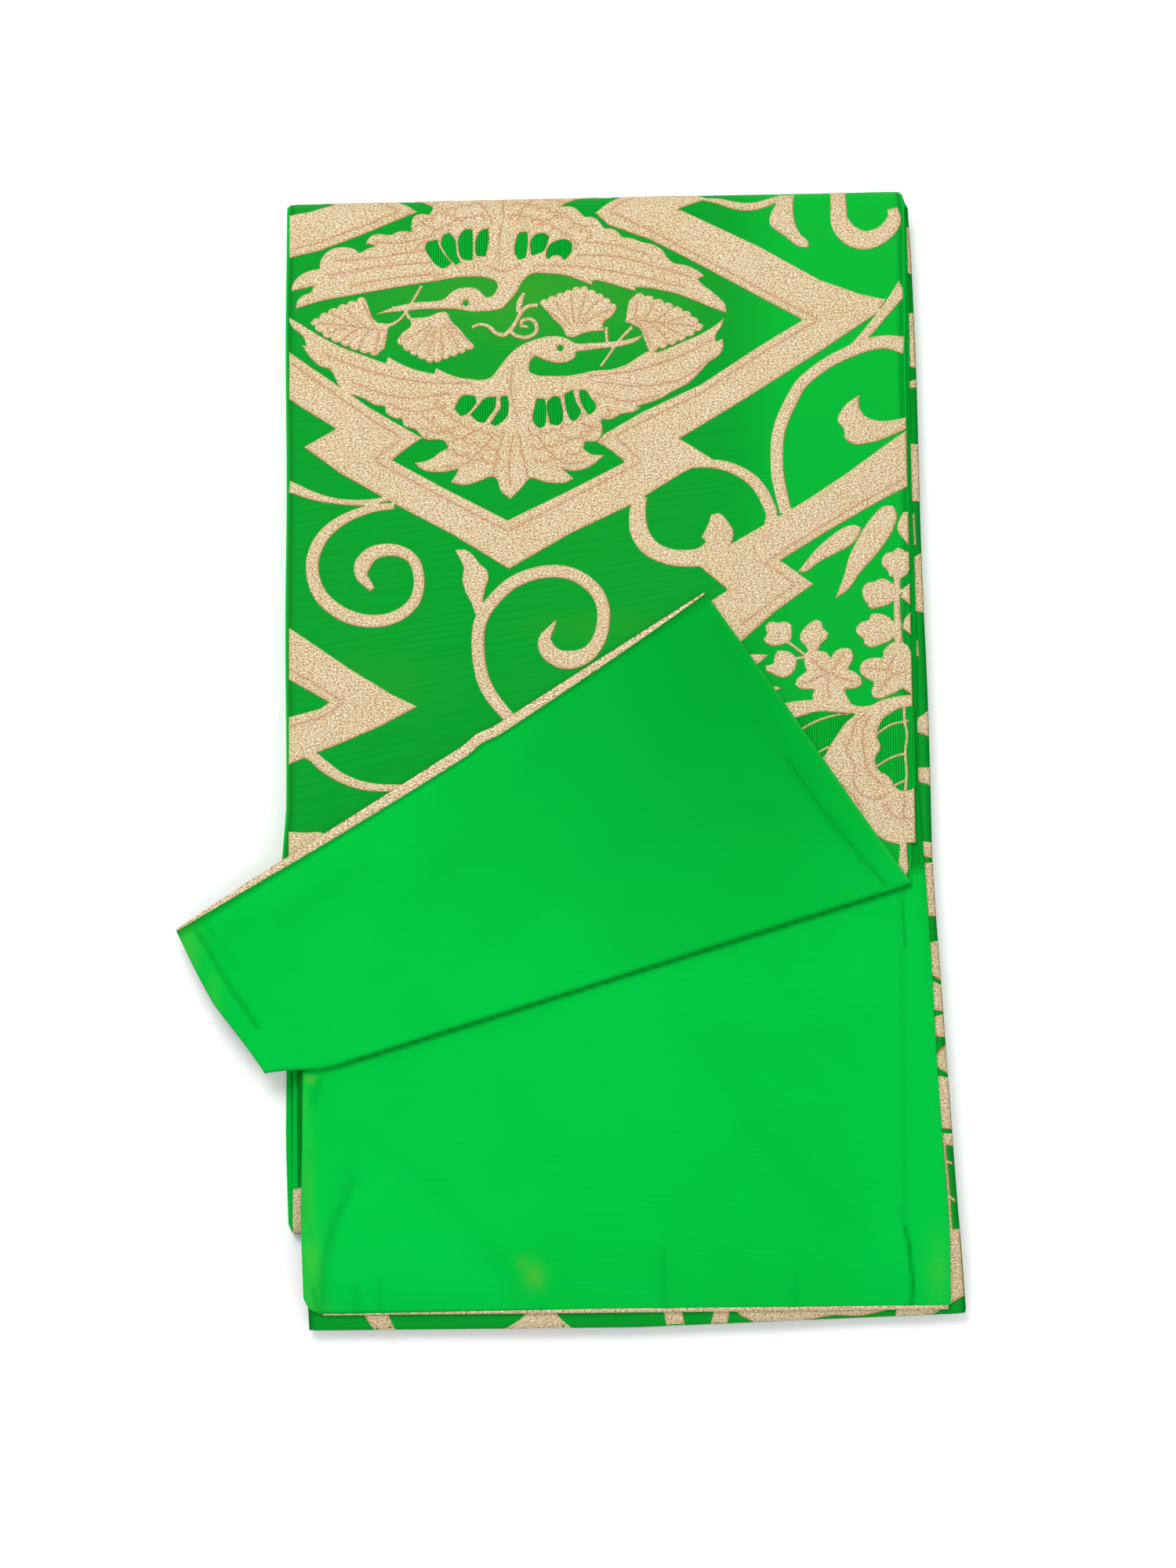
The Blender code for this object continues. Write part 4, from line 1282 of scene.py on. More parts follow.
# %% Tendrils and leaves
TENDRILS = [
    stem([(-83, 121.5), (-95, 120), (-105, 116.5), (-112, 112.5), (-118, 107), (-122, 100), (-123.7, 93),
          (-123, 85), (-119, 76), (-112, 69.5), (-104, 65.5), (-95, 63.8), (-85, 65), (-78, 68.5),
          (-73, 74), (-71, 81), (-71.3, 88), (-73, 93), (-77, 97), (-82, 99), (-88, 99.3), (-94, 97.5),
          (-98, 93.5), (-99.5, 90), (-99, 86), (-96, 82), (-94, 79.5)],
         [3.5, 4.5, 5.5, 6.5, 6.5, 7, 7, 6.5, 6, 5.5, 5.5, 6.5, 8.5, 3]),
    stem([(-18, 6), (-29, 17.5), (-35, 25), (-39.5, 34), (-41.5, 44), (-42, 53), (-41, 62), (-38, 68.5),
          (-32, 76), (-25, 82), (-16, 86), (-5, 87.8), (4, 86.5), (12, 82), (17.5, 76), (20, 69),
          (19.8, 61), (18, 54), (13, 47), (5, 43.5), (-3, 44.5), (-8, 49), (-9, 54), (-6, 59), (-3.5, 63)],
         [5, 6, 6.5, 6.5, 6.5, 6.5, 6.5, 6.5, 6.5, 6.5, 6.5, 7, 9.5, 8, 1]),
    stem([(-136, 132), (-120, 125.8), (-110, 123.8), (-98, 123.2), (-86, 125)], [6, 4.5, 3, 3.3, 2.5]),
    stem([(-136, 0), (-124, -3), (-118, -8), (-110, -13.5), (-100, -17.5), (-90, -19), (-80, -19)],
         [1, 5, 6, 5, 4.5, 4, 3.5]),
    stem([(141, 194.5), (147, 200.5), (153, 206.5), (159, 213.5), (165, 221), (172.5, 231)],
         [3, 4, 5, 5, 6, 7.5]),
    stem([(66, 141), (75, 141), (82, 139.6), (88, 137), (94, 133), (99, 127), (102, 121), (104, 115),
          (103, 110)], [4, 4.6, 5.2, 5.6, 6, 6, 6, 6]),
    stem([(111, 116), (109, 125), (107.5, 133), (107, 144), (108, 156), (111, 165), (115, 173), (119, 180),
          (126, 186.5), (134, 192), (142, 196), (152, 200), (162, 201.8), (172, 200)],
         [6, 6.3, 6.5, 6.5, 6.5, 6.5, 6.5, 6, 6, 6, 6.3, 6.6, 7, 9]),
    stem([(39, 125), (37.5, 116), (38.5, 107), (43, 99.5), (51, 95), (60, 93.5), (69, 94.5), (75, 99),
          (77.5, 105), (77.5, 112.5)], [7, 8.3, 9.3, 9, 8.5, 8.5, 9, 9.5, 10.5, 5]),
    stem([(72, 277), (80, 275.5), (88, 272.8), (96, 272), (104, 274), (110, 277)],
         [2, 4, 4.5, 4.5, 4.5, 4]),
    stem([(142, 290), (140.5, 281), (140.3, 272), (141, 263), (146, 256.5), (153, 254), (160, 256),
          (166, 261), (168, 265.5), (167, 270.5)], [6, 7.5, 8, 8.5, 10, 10.5, 9.5, 8.5, 8, 5]),
    stem([(142, 290), (147, 296), (156, 301)], [6, 7, 7]),
]
LEAVES = [curve(points) for points in (
    [(-53, 99), (-48, 99), (-44, 96), (-41, 92), (-37, 88), (-36.5, 84), (-38, 80), (-39, 75), (-39, 68),
     (-43, 66), (-45, 72), (-48, 78), (-49.5, 84), (-49, 91), (-51, 95)],
    [(69, 104), (72, 110), (74, 115.5), (78, 116), (82, 112), (85, 105.5), (83, 100), (76, 97)],
    [(148.5, 175), (141, 169.5), (137.5, 161.5), (140.5, 157.5), (141, 153), (144, 150.5), (155, 151),
     (167, 155.5), (RIGHT_X, 158), (RIGHT_X, 163.5), (160, 161.8), (155, 162.5), (150.5, 165),
     (148.5, 169)],
    [(118.5, 280), (117.5, 272), (120, 259), (125, 252), (124.5, 250.5), (121, 250.8), (113, 256.5),
     (105.5, 263.5), (106, 268), (108.5, 273), (110, 280)],
    [(LEFT_X, -40), (-128, -40.5), (-118, -41), (-112, -47), (LEFT_X, -58)],
)]
LEAF = scalloped(
    [(-97, 226.5), (-108, 222.5), (-117, 218.5), (-123, 214.5), (-117, 209), (-108, 204.5), (-98, 200.5),
     (-90.5, 198.5)],
    [(-87.5, 201), (-86.5, 206), (-85.5, 212), (-90, 214), (-93, 216), (-95, 221)], 13, 1.9)
FAN = scalloped(
    [(-81, 206), (-76, 201), (-70, 197.5), (-64, 195), (-57, 197), (-50, 199.5), (-43, 202.5)],
    [(-47, 206.5), (-50, 210.5), (-54, 214.5), (-57, 219.5), (-60, 219.5), (-65, 217.5), (-75, 216.5),
     (-74.5, 213), (-79, 209)], 10, 1.8)
FANS = [LEAF, FAN, turned_about(LEAF), turned_about(FAN)]
FINE_STEMS = [
    stem([(-90, 213.2), (-85, 213), (-81, 215), (-76.5, 220), (-73, 226), (-69, 233)],
         [2.2, 1.6, 1.5, 1.5]),
    stem([(-75, 216), (-78, 221), (-84, 222)], [1.8, 1.4, 1.2]),
    stem([(23, 211), (23.5, 203)], [1.8, 1.5]),
    stem([(36, 211), (29, 203.5), (23, 195), (20, 191)], [1.8, 1.5, 1.4]),
    stem([(-44, 211.5), (-40, 213), (-36, 212), (-32, 208.5), (-28, 207.5), (-25, 210), (-22, 214),
          (-20, 218), (-16, 222), (-11, 222.5)], [1.6, 2.2, 2.4, 2.2, 2.2]),
    stem([(-21, 219), (-20, 224), (-18, 229)], [2.2, 3.4, 1.5]),
    stem([(-26, 210), (-22, 207), (-16, 206.3), (-12, 209), (-12, 213), (-15, 215.5), (-19, 215),
          (-19.5, 212), (-16, 211.5)], [2.0, 2.2, 2.0, 1.6]),
]
LEAF_LINES = [curve(points, closed=False) for points in (
    [(-88, 210.5), (-103, 212.5), (-120, 214.5)], [(-91, 210.5), (-95, 217), (-98, 224)],
    [(-96, 211.5), (-103, 217), (-106, 221.5)], [(-102, 212.3), (-109, 216.5), (-113, 219)],
    [(-90.5, 209.5), (-91, 205), (-92, 200.5)], [(-95, 210.5), (-98, 206.5), (-100, 202.5)],
    [(-101, 211.3), (-105, 208.5), (-108, 206)], [(-107, 212), (-112, 210.5), (-115, 209.5)],
    [(-65, 213), (-72, 208), (-79, 205.5)], [(-64, 212), (-68, 205), (-73, 200.5)],
    [(-62, 212), (-64, 204), (-66, 198)], [(-60, 212), (-59, 205), (-59, 199)],
    [(-58, 213), (-54, 207), (-51, 201.5)], [(-56, 214), (-51, 209), (-46, 204.5)],
)]
LEAF_LINES += [turned_about(line) for line in LEAF_LINES]
print(len(TENDRILS), "tendrils,", len(LEAVES), "leaves,", len(FANS), "fans and",
      len(FINE_STEMS), "fine stems")

# %% [markdown]
# ## The cranes
# Two cranes fly round each other inside the lozenge, one over the other, with open wings and a
# fan of tail feathers. The upper one runs over the far roll. Small windows in the feathers show
# a ribbed green silk, and fine lines draw the long feathers.

# %% Cranes
UPPER_CRANE = curve([
    (-132, 222), (-120, 225.5), (-100, 229), (-80, 232.5), (-60, 235.5), (-50, 237), (-36, 236.5),
    (-33, 235.5), (-31, 233), (-32, 230), (-34, 227.5), (-37, 227), (-39, 229), (-42, 231.5), (-47, 232),
    (-52, 231), (-55, 229), (-58, 226), (-62, 225.2), (-70, 224.8), (-78, 223.5), (-85, 221.5),
    (-92, 218.6), (-80, 219.8), (-70, 220.7), (-60, 221), (-50, 220.5), (-45, 219.5), (-38, 219.5),
    (-33, 220), (-29, 221), (-25, 225), (-21, 230), (-19, 234), (-15, 238), (-5, 238.5), (3, 237.5),
    (10, 235), (16, 232.5), (17, 235), (22, 234), (30, 231.5), (38, 229), (38, 231), (45, 230.5),
    (50, 229.5), (58, 227.5), (66, 224.5), (74, 221), (83, 217.5), (83, 221), (79, 226), (75, 229.5),
    (71.5, 232), (69, 235), (72.5, 236.5), (69, 239.5), (62, 242.5), (57, 243.5), (53.5, 247), (52, 249.5),
    (48, 252.5), (41, 254.5), (36, 256.5), (31, 257.5), (30, 259), (26, 261.5), (22.5, 261.8), (21, 264),
    (17, 267.5), (12.5, 268), (10.5, 270), (7, 273), (1, 273.5), (6, 277), (11, 280), (15, 281.7),
    (20, 282.5), (17, 285.5), (7, 287.5), (-2, 286), (0, 289.5), (2, 292.5), (-3, 294), (-13, 292),
    (-20, 290.5), (-23, 297), (-27, 300.5), (-33, 296), (-38, 291), (-48, 293.5), (-56, 293), (-59, 291.5),
    (-54, 286.5), (-63, 287), (-67, 285.5), (-74.5, 279.5), (-70, 279), (-66, 276), (-63, 273.5),
    (-65, 269.5), (-70, 270), (-73, 268.5), (-74, 265), (-74, 261), (-81, 261), (-84, 259.5), (-91, 260),
    (-95, 258.5), (-97, 255), (-92, 253.8), (-97, 252), (-100, 250.5), (-103, 252.5), (-108, 253.5),
    (-115, 252), (-119, 248), (-120, 245), (-120, 242.5), (-125, 241.5), (-130, 239), (-134, 233.5),
    (-134, 231), (-123, 233.5), (-125, 230), (-127, 229.5), (-131, 226.5),
])
LOWER_CRANE = curve([
    (-35, 186), (-30, 192), (-25, 198), (-20, 202), (-13, 205), (-5, 206.8), (2, 206), (8, 203), (15, 203),
    (25, 203.5), (33, 204.5), (42, 207), (38, 203.5), (30, 201), (20, 200), (8, 198.5), (7.5, 196),
    (5, 194), (0, 192.8), (-5, 193.5), (-12.5, 196.5), (-15, 194), (-15.5, 188.5), (-12, 187), (-5, 186.5),
    (3, 186.5), (10, 187.5), (17, 189), (25, 189.5), (33, 192), (40, 196.5), (44, 198.5), (47, 198),
    (55, 200.5), (62, 203.5), (70, 207), (76, 210.5), (82, 215), (80.5, 210.5), (78, 207), (77.5, 203),
    (81, 204.5), (81.5, 201), (80, 197), (74, 192.5), (70, 188), (66, 184), (63, 181.5), (57, 178.5),
    (50, 174.5), (45, 172.5), (38, 170.5), (40, 170), (37, 168), (30, 166.5), (25, 164), (20, 164),
    (20.5, 157), (18, 153), (12, 153), (11, 149.5), (14, 147), (21.5, 146), (14, 140), (10, 138.5),
    (5, 138), (1, 139), (6, 134), (3, 132.5), (-5, 132), (-10, 133), (-15, 134.5), (-20, 129.5),
    (-25.5, 124), (-30, 128), (-33, 135), (-35, 135.5), (-40, 133.5), (-50, 131.5), (-55, 133), (-53, 136),
    (-51, 139.5), (-60, 138), (-70, 140), (-73, 143), (-68, 143.8), (-64, 145.5), (-60, 148.5),
    (-56, 150.5), (-58, 153.5), (-68, 155), (-73, 160), (-78, 161.5), (-79, 165), (-84, 166), (-87, 168.5),
    (-87.5, 171.5), (-93, 172.5), (-98, 175.5), (-106, 178.5), (-110, 182), (-115, 190.5), (-120, 192.5),
    (-124, 196), (-129, 203.5), (-126.5, 203), (-128, 207), (-134, 213), (-136, 218), (-130, 214.5),
    (-120, 208), (-110, 202.5), (-100, 198.5), (-87, 193.5), (-86, 197), (-80, 193.5), (-73, 190.5),
    (-63, 188), (-62, 191), (-55, 187.5), (-47, 185.5),
])
LOWER_CRANE[:, 0] = np.maximum(LOWER_CRANE[:, 0], LEFT_X)
EYES = [round_spot(-47, 224, 1.5), round_spot(0, 200.5, 1.5)]
WINDOWS = [curve(points) for points in (
    [(-67, 252), (-66, 255.5), (-61, 256.5), (-60, 253), (-57, 248), (-54, 244.5), (-58, 242), (-62, 244),
     (-65, 248)],
    [(-59, 256), (-57.5, 259), (-55, 260), (-52.5, 257), (-51, 248), (-49.5, 245), (-52, 243.5),
     (-56, 248)],
    [(-50, 258), (-47, 261.5), (-43.5, 261.5), (-43.3, 255), (-43.5, 246), (-49, 247), (-50, 250)],
    [(-41, 258), (-39, 261), (-35.5, 262), (-35.5, 255), (-37, 248), (-41.5, 248), (-42, 252)],
    [(-22, 249), (-21.5, 256), (-20, 259.5), (-16, 260), (-15.8, 255), (-17, 247), (-20.5, 246)],
    [(-14, 256), (-12, 258.5), (-7, 259), (-5, 257.5), (-8.5, 250), (-11, 249), (-14, 248)],
    [(-6.5, 249), (-5, 253), (-1, 255.5), (3, 256), (6.5, 254), (6, 250), (2.5, 245.5), (0, 248), (-3, 248),
     (-6, 246)],
    [(-52.5, 170), (-51, 174), (-49, 176.5), (-43, 176.5), (-42, 174), (-44, 170.5), (-47, 167.5),
     (-50, 166.5)],
    [(-45, 167), (-41, 163.5), (-38, 163), (-36, 166), (-33, 170), (-32, 176), (-38, 175), (-40.5, 172)],
    [(-30, 170), (-30, 176), (-26.5, 176.5), (-26, 172), (-27, 166), (-30, 163), (-33, 161.5), (-35, 162.5),
     (-32, 167)],
    [(-13, 162), (-12, 175), (-8, 174.5), (-7.5, 172), (-7.5, 165), (-8.5, 161), (-11, 160)],
    [(-5.5, 162), (-6, 174), (-3, 176), (-0.5, 175.5), (1, 167), (0.5, 163), (-1.5, 161.5)],
    [(2, 177), (6, 179), (8, 172), (10, 168), (7, 163.5), (5, 164), (3.5, 167), (2.5, 171)],
    [(9.5, 179), (11.5, 179), (15, 175), (17.5, 171), (17, 169), (14, 166.5), (12, 169), (9.8, 174)],
)]
FEATHER_LINES = [curve(points, closed=False) for points in (
    [(-58, 239), (-80, 237.5), (-105, 233.5)], [(-62, 245), (-85, 243.5), (-116, 239)],
    [(-70, 251), (-90, 248), (-112, 246.5)], [(-70, 257), (-80, 255), (-93, 256)],
    [(-62, 262), (-68, 265), (-70, 267)], [(-48, 266), (-56, 270), (-60, 274)],
    [(-34, 266), (-38, 274), (-44, 281), (-52, 284)], [(-28, 268), (-28, 280), (-27, 291)],
    [(-21, 266), (-17, 274), (-10, 281), (0, 283)], [(-10, 264), (-2, 268), (4, 270)],
    [(5, 262), (12, 263), (18, 263)], [(-12, 243), (10, 242), (38, 237), (62, 231)],
    [(9, 248), (28, 247), (50, 241), (66, 236)], [(12, 255), (28, 253), (44, 248)],
    [(-30, 244), (-30, 256), (-29, 264)], [(-36, 243), (-28, 240), (-20, 243)],
    [(-44, 183), (-70, 184), (-96, 190), (-118, 199)], [(-55, 178), (-80, 176), (-104, 184)],
    [(-57, 172), (-74, 169), (-86, 173)], [(-52, 161), (-62, 158), (-70, 161)],
    [(-42, 159), (-50, 155), (-57, 153)], [(-34, 156), (-40, 149), (-48, 142), (-58, 141)],
    [(-29, 156), (-32, 146), (-34, 137)], [(-21, 157), (-19, 146), (-17, 136)],
    [(-24, 156), (-26, 142), (-25.5, 130)], [(-12, 156), (-6, 148), (2, 142), (12, 143)],
    [(-2, 157), (6, 154), (13, 156)], [(10, 162), (16, 160), (19, 160)],
    [(18, 177), (34, 173), (48, 176)], [(20, 183), (42, 181), (62, 185), (74, 194)],
    [(14, 186), (38, 189), (60, 196), (76, 204)], [(-24, 192), (-25, 180), (-22, 166)],
)]


SHOULDERS = (-22, 193)
SHOULDERS_WIDER, LOBE_DEPTH = 1.3, 2.6


def feather_row(radius, lobes, start, stop):
    """A row of feather tips round the lower crane's shoulders: an ellipse whose radius has round lobes."""
    angle = np.radians(np.linspace(start, stop, 12 * lobes))
    lobe = np.abs(np.sin((np.linspace(0.0, 1.0, 12 * lobes)) * np.pi * lobes))
    reach = radius + LOBE_DEPTH * np.sqrt(lobe)
    x = SHOULDERS[0] + SHOULDERS_WIDER * reach * np.cos(angle)
    return np.stack([x, SHOULDERS[1] + reach * np.sin(angle)], axis=-1)


FEATHER_ROWS = [feather_row(35, 7, 212, 262), feather_row(42, 7, 214, 262), feather_row(35, 7, 278, 328),
                feather_row(42, 7, 278, 326), feather_row(49, 5, 226, 262), feather_row(49, 5, 278, 314)]
FEATHER_ROWS += [turned_about(row) for row in FEATHER_ROWS]
print("cranes:", len(UPPER_CRANE), "and", len(LOWER_CRANE), "points;", len(WINDOWS), "windows")

# %% [markdown]
# ## Flowers and a second bird, on the right
# Inside the lower lozenge stand long leaves, a stem of round blossoms and an open flower. Below
# them a bird spreads its wing and runs under the turned end.

# %% Flowers and bird
FLOWERS = [curve(points) for points in (
    [(116.5, 86.5), (120, 91), (126, 98), (133, 104), (140, 108.5), (145, 109.5), (148.5, 108), (147, 104),
     (143, 99.5), (136, 95.5), (128, 91.5), (118, 86)],
    [(134.5, 72.5), (139, 84), (142, 94), (146, 102), (155, 115), (160, 119), (164, 119), (166, 115),
     (164, 107), (159, 99), (147, 85), (141, 77)],
    [(RIGHT_X, 115.5), (169.5, 116), (167, 112), (166, 107), (169, 102), (RIGHT_X, 99)],
    [(89.5, 45), (94.5, 45.5), (101, 45), (98, 42), (93.5, 38.5), (91.5, 41)],
    [(101, 28.5), (105, 29.3), (107, 28), (103, 26.8)],
    [(119, 44.5), (121, 47), (125, 47), (129.5, 46), (132, 43), (133.5, 46), (137.5, 48), (141.5, 47.5),
     (143, 44), (141.5, 39.5), (140, 37.5), (143.5, 36), (146.5, 33), (147, 29.5), (144, 28), (138.5, 27.5),
     (139, 25), (141, 21.5), (138, 17), (124, 17), (122.5, 25), (123.5, 27.5), (120, 27.5), (115.5, 28.5),
     (114, 30), (115, 33), (117.5, 35), (120, 37), (119, 39.5)],
    [(100, 59.5), (102.5, 61.5), (106, 61), (109.5, 61.5), (112.5, 60), (113, 56.5), (112.5, 52.5),
     (109.5, 50.5), (102.5, 49.5), (99.5, 51.5), (99, 53), (100.5, 55)],
    [(125, 62.5), (128, 60.5), (128.5, 58), (131, 55.5), (130, 52.5), (127.5, 50.5), (125, 46.5), (121, 46),
     (119.5, 49), (117, 52), (117, 55), (118.5, 57.5), (121.5, 60.5)],
    [(99.5, 39.5), (103.5, 41), (104, 44), (105.5, 47), (109.5, 47), (113, 45.5), (115, 42), (114.5, 38.5),
     (112, 35), (108.5, 33.5), (105.5, 34), (103, 35.5), (100, 37)],
    [(144.5, 57), (147.5, 61), (151, 62), (152, 64.5), (156.5, 65), (161, 63), (163.5, 60), (164.5, 55.5),
     (162.5, 52), (157, 49.5), (151.5, 48), (148, 50), (148.5, 52), (145.5, 54.5)],
    [(148, 77), (148.5, 73), (150, 70), (152, 67.5), (156.5, 68), (162, 70), (164.5, 73.5), (164.5, 78),
     (161, 81.5), (157, 82.5), (154, 81), (150.5, 80.5)],
    [(158, 92), (158.5, 88.5), (161, 86), (161.5, 83.5), (166, 82.5), (170, 84), (RIGHT_X, 87),
     (RIGHT_X, 95), (169, 96.5), (166, 98), (163.5, 96), (160, 95)],
    [(RIGHT_X, 65.5), (168.5, 62), (167.5, 57.5), (RIGHT_X, 54)],
    [(RIGHT_X, 80), (168, 77), (167, 73), (RIGHT_X, 69)],
    [(158, 46.5), (161.5, 50), (166, 51), (170, 48.5), (RIGHT_X, 45), (RIGHT_X, 24), (169, 26),
     (166.5, 27.5), (163.5, 25.5), (160, 24), (155.5, 22.5), (152.5, 23), (151.5, 26), (153, 30.5),
     (148.5, 33), (146.5, 35), (146, 38.5), (148, 41.5), (152.5, 43), (157.5, 43)],
)]
FLOWER_STEMS = [
    stem([(165.5, 84), (165, 70), (165.5, 50)], [3.4, 3.2, 4.2]),
    stem([(110.5, 51.5), (115, 48), (120.5, 43.5)], [1.5, 1.5]),
    stem([(113.5, 43), (119.5, 43.5)], [1.5, 1.5]), stem([(162, 58), (167, 60)], [2.5, 2.5]),
    stem([(163, 75), (168, 76)], [2.5, 2.5]),
]
FLOWER_LINES = [curve(points, closed=False) for points in (
    [(123, 42), (127, 38), (131, 36)], [(138, 45), (135, 40), (131, 36)], [(143, 31), (137, 33), (131, 36)],
    [(118, 31), (125, 33), (131, 36)], [(131, 35), (130, 29), (131, 23)],
    [(163, 43), (160, 38), (163, 34), (168, 36)],
    [(149, 38), (155, 37), (161, 37)], [(155, 26), (159, 31), (162, 35)],
)]
BIRD = curve([
    (97, 19), (106, 20.5), (114.5, 22), (123.5, 22.5), (139, 22), (142, 20), (147.5, 19), (151, 19.5),
    (156.5, 22), (162.5, 23.5), (RIGHT_X, 24.5), (RIGHT_X, -48.5), (161, -49), (156.5, -47.5),
    (151.5, -44.5), (144, -40), (132, -24), (118, -8), (104, 8), (95, 15),
])
BIRD_TAIL = curve([
    (164, -46), (167.2, -46), (167.5, -55.5), (167.5, -62.5), (166, -65), (163, -59.5), (163.5, -53.5),
])
BIRD_WINDOWS = [
    curve([(110, 12), (119, 15), (125, 16.5), (133, 16), (143.5, 15), (138.5, 11), (134.5, 5.5),
           (131, 0.5), (127.5, -5.5), (122, -9), (112, 3)]),
    curve([(172.4, 18.8), (165, 17.5), (160.5, 15), (157, 12.5), (155, 9), (154, 5.5), (154.5, 2),
           (155.5, -1), (155, -3), (153, -6), (153, -9.5), (154.5, -13), (158, -15), (161, -18.5),
           (162.5, -21.5), (166, -23), (172.4, -21.5)]),
]
WINDOW_RIBS = [
    stem([(113, 5.5), (120.5, 10), (126, 12.5), (133, 14.5), (140, 15.2)], [1.0, 1.2, 0.9]),
    stem([(121, -8), (126, -3), (130, -1)], [1.2, 1.2]),
    stem([(167.5, 19.5), (167.5, 12.5), (168.5, 5.5), (167.5, -4.5), (168, -14.5), (167, -23.5)],
         [1.6, 1.4, 1.6]),
    stem([(153.5, 5), (160.5, 9.5), (169.5, 11.5)], [1.1, 1.2, 1.2]),
    stem([(153, -11), (161, -6.5), (168, -4.5)], [1.1, 1.2, 1.2]),
    stem([(161.5, -20.5), (167, -18)], [1.2, 1.2]),
]
BIRD_LINES = [curve(points, closed=False) for points in (
    [(148, 15), (143.5, 11), (141.5, 4.5), (138.5, -2.5), (142.5, -10.5), (141.5, -17), (145, -24),
     (152, -27), (158, -25)],
    [(157, -29.5), (161.5, -35.5), (169, -37)], [(166.5, -25), (166, -37)],
    [(133, -17), (140, -24), (146, -33)],
    [(150, 14), (147, 6), (147, -4), (150, -14), (156, -20)],
)]
print(len(FLOWERS), "flowers and leaves;", len(BIRD), "points of bird")

# %% Weaving the top stretch
ALL_WINDOWS = WINDOWS + BIRD_WINDOWS
top_gold = BANDS + TENDRILS + LEAVES + FANS + FINE_STEMS + [UPPER_CRANE, LOWER_CRANE]
top_gold += FLOWERS + FLOWER_STEMS + [BIRD, BIRD_TAIL]
top_gold = [np.stack([np.clip(loop[:, 0], LEFT_X, RIGHT_X), loop[:, 1]], axis=-1) for loop in top_gold]
top_lines = BAND_LINES + LEAF_LINES + FEATHER_LINES + FEATHER_ROWS + FLOWER_LINES + BIRD_LINES
gold_top = woven_figure("gold_figure_top", top_gold, ALL_WINDOWS + EYES, top_lines, on_top, GOLD,
                        "gold_band")
window_silk = woven_figure("ribbed_windows", ALL_WINDOWS, [], [], on_top, RIBBED, "brocade",
                           relief=0.0, spacing=3.0)
window_veins = woven_figure("gold_window_veins", WINDOW_RIBS, [], [], on_top, GOLD, "gold_band",
                            relief=0.12)

# %% [markdown]
# ## The same weaving on the lower stretches
# On the third stretch only a margin and the near fold show, so its motifs are drawn where they
# meet that margin: pieces of bands, petals and a stem. The lower pack shows at its near fold.

# %% Margin and near fold
def margin_x(y):
    """The right side of the third stretch, where the brocade ends."""
    return float(side_x(3, 1, y) - roll(3, FRONT, y)) - 0.05


MARGIN_INNER_X = 158.0


def margin_piece(top, top_slant, bottom, bottom_slant):
    """A piece of gold from well under the panel to the side, with slanting ends."""
    middle = (top + bottom) / 2
    return straight([(MARGIN_INNER_X, top + top_slant), (margin_x(top), top), (margin_x(middle), middle),
                     (margin_x(bottom), bottom), (MARGIN_INNER_X, bottom + bottom_slant)])


third_gold = [margin_piece(*ends) for ends in (
    (262, 6, 238, 3), (218, 0, 190, 2), (184, -4, 180, -4), (151, 3, 122, 0), (96, -10, 66, 2),
    (17, -14, 4, 8), (-11, 0, -20, 6), (-48, 2, -56, 4), (-58, 0, -84.5, 0), (-96.5, -3, -116, 14),
    (-118, 12, -131, 4), (-132, -8, -143.5, 2), (-147, -20, -161, 14), (-163, 6, -188, 2),
    (-190, 2, -196, 2), (-236, 2, -268, -20),
)]
third_gold += [
    stem([(174.7, 116), (175.2, 100)], [1.4, 1.4]), stem([(173.8, 52), (174.2, 44)], [3.6, 3.6]),
    stem([(182.6, -194), (184, -215), (185, -238)], [1.5, 1.6, 1.8]),
    stem([(182.5, -203), (186.3, -204.5)], [1.2, 1.4]), stem([(184, -220), (187.3, -222.5)], [1.2, 1.4]),
    straight([(-103, -268), (-91, -268), (-84.5, -282), (-82, -286), (-92, -286), (-98, -277)]),
    curve([(-19, -266), (-9, -266), (-6, -275), (0, -281), (6, -286), (-36, -286), (-30, -281),
           (-22, -275)]),
    straight([(44, -268), (53, -268), (57, -286), (48, -286)]),
    straight([(71, -268), (78.5, -268), (75.5, -286), (67, -286)]),
    curve([(82, -262), (150, -262), (153, -275), (140, -277.5), (128, -277), (118, -279), (104, -286),
           (96, -286), (88, -279.5), (81, -275)]),
]
gold_third = woven_figure("gold_figure_third", third_gold, [], [], on_third, GOLD, "gold_band", spacing=2.4)

lower_gold = [
    straight([(LEFT_X + 1, -214), (-112, -208), (-84, -231), (-70, -243), (-84, -256), (-104, -250),
              (LEFT_X + 1, -236)]),
    straight([(-52, -222), (-30, -232), (0, -248), (-14, -258), (-44, -244), (-64, -232)]),
    stem([(20, -228), (34, -236), (40, -246), (32, -255), (20, -256), (14, -248), (22, -243)],
         [5, 6.5, 7, 6.5, 3]),
    curve([(64, -224), (84, -228), (96, -240), (90, -254), (74, -258), (62, -248), (72, -240)]),
    straight([(112, -220), (140, -238), (168, -256), (168, -240), (140, -222), (126, -214)]),
]
gold_lower = woven_figure("gold_figure_lower", lower_gold, [], [], on_lower, GOLD, "gold_band", spacing=2.4)

# %% [markdown]
# ## The size of each sheet
# Each sheet prints the size it was cut to, which is its width by the length along its
# middle.

# %% [markdown]
# ## Table, light and camera
# The sash lies on a plain pale table. One big soft light stands over its far side, so the fold of
# the turned end throws a thin shadow towards the near side, and a pale world fills the rest. A
# painted shadow line on the panel, just past the fold, darkens that shadow. The camera looks
# straight down but for a few degrees, and is level but for half a degree.

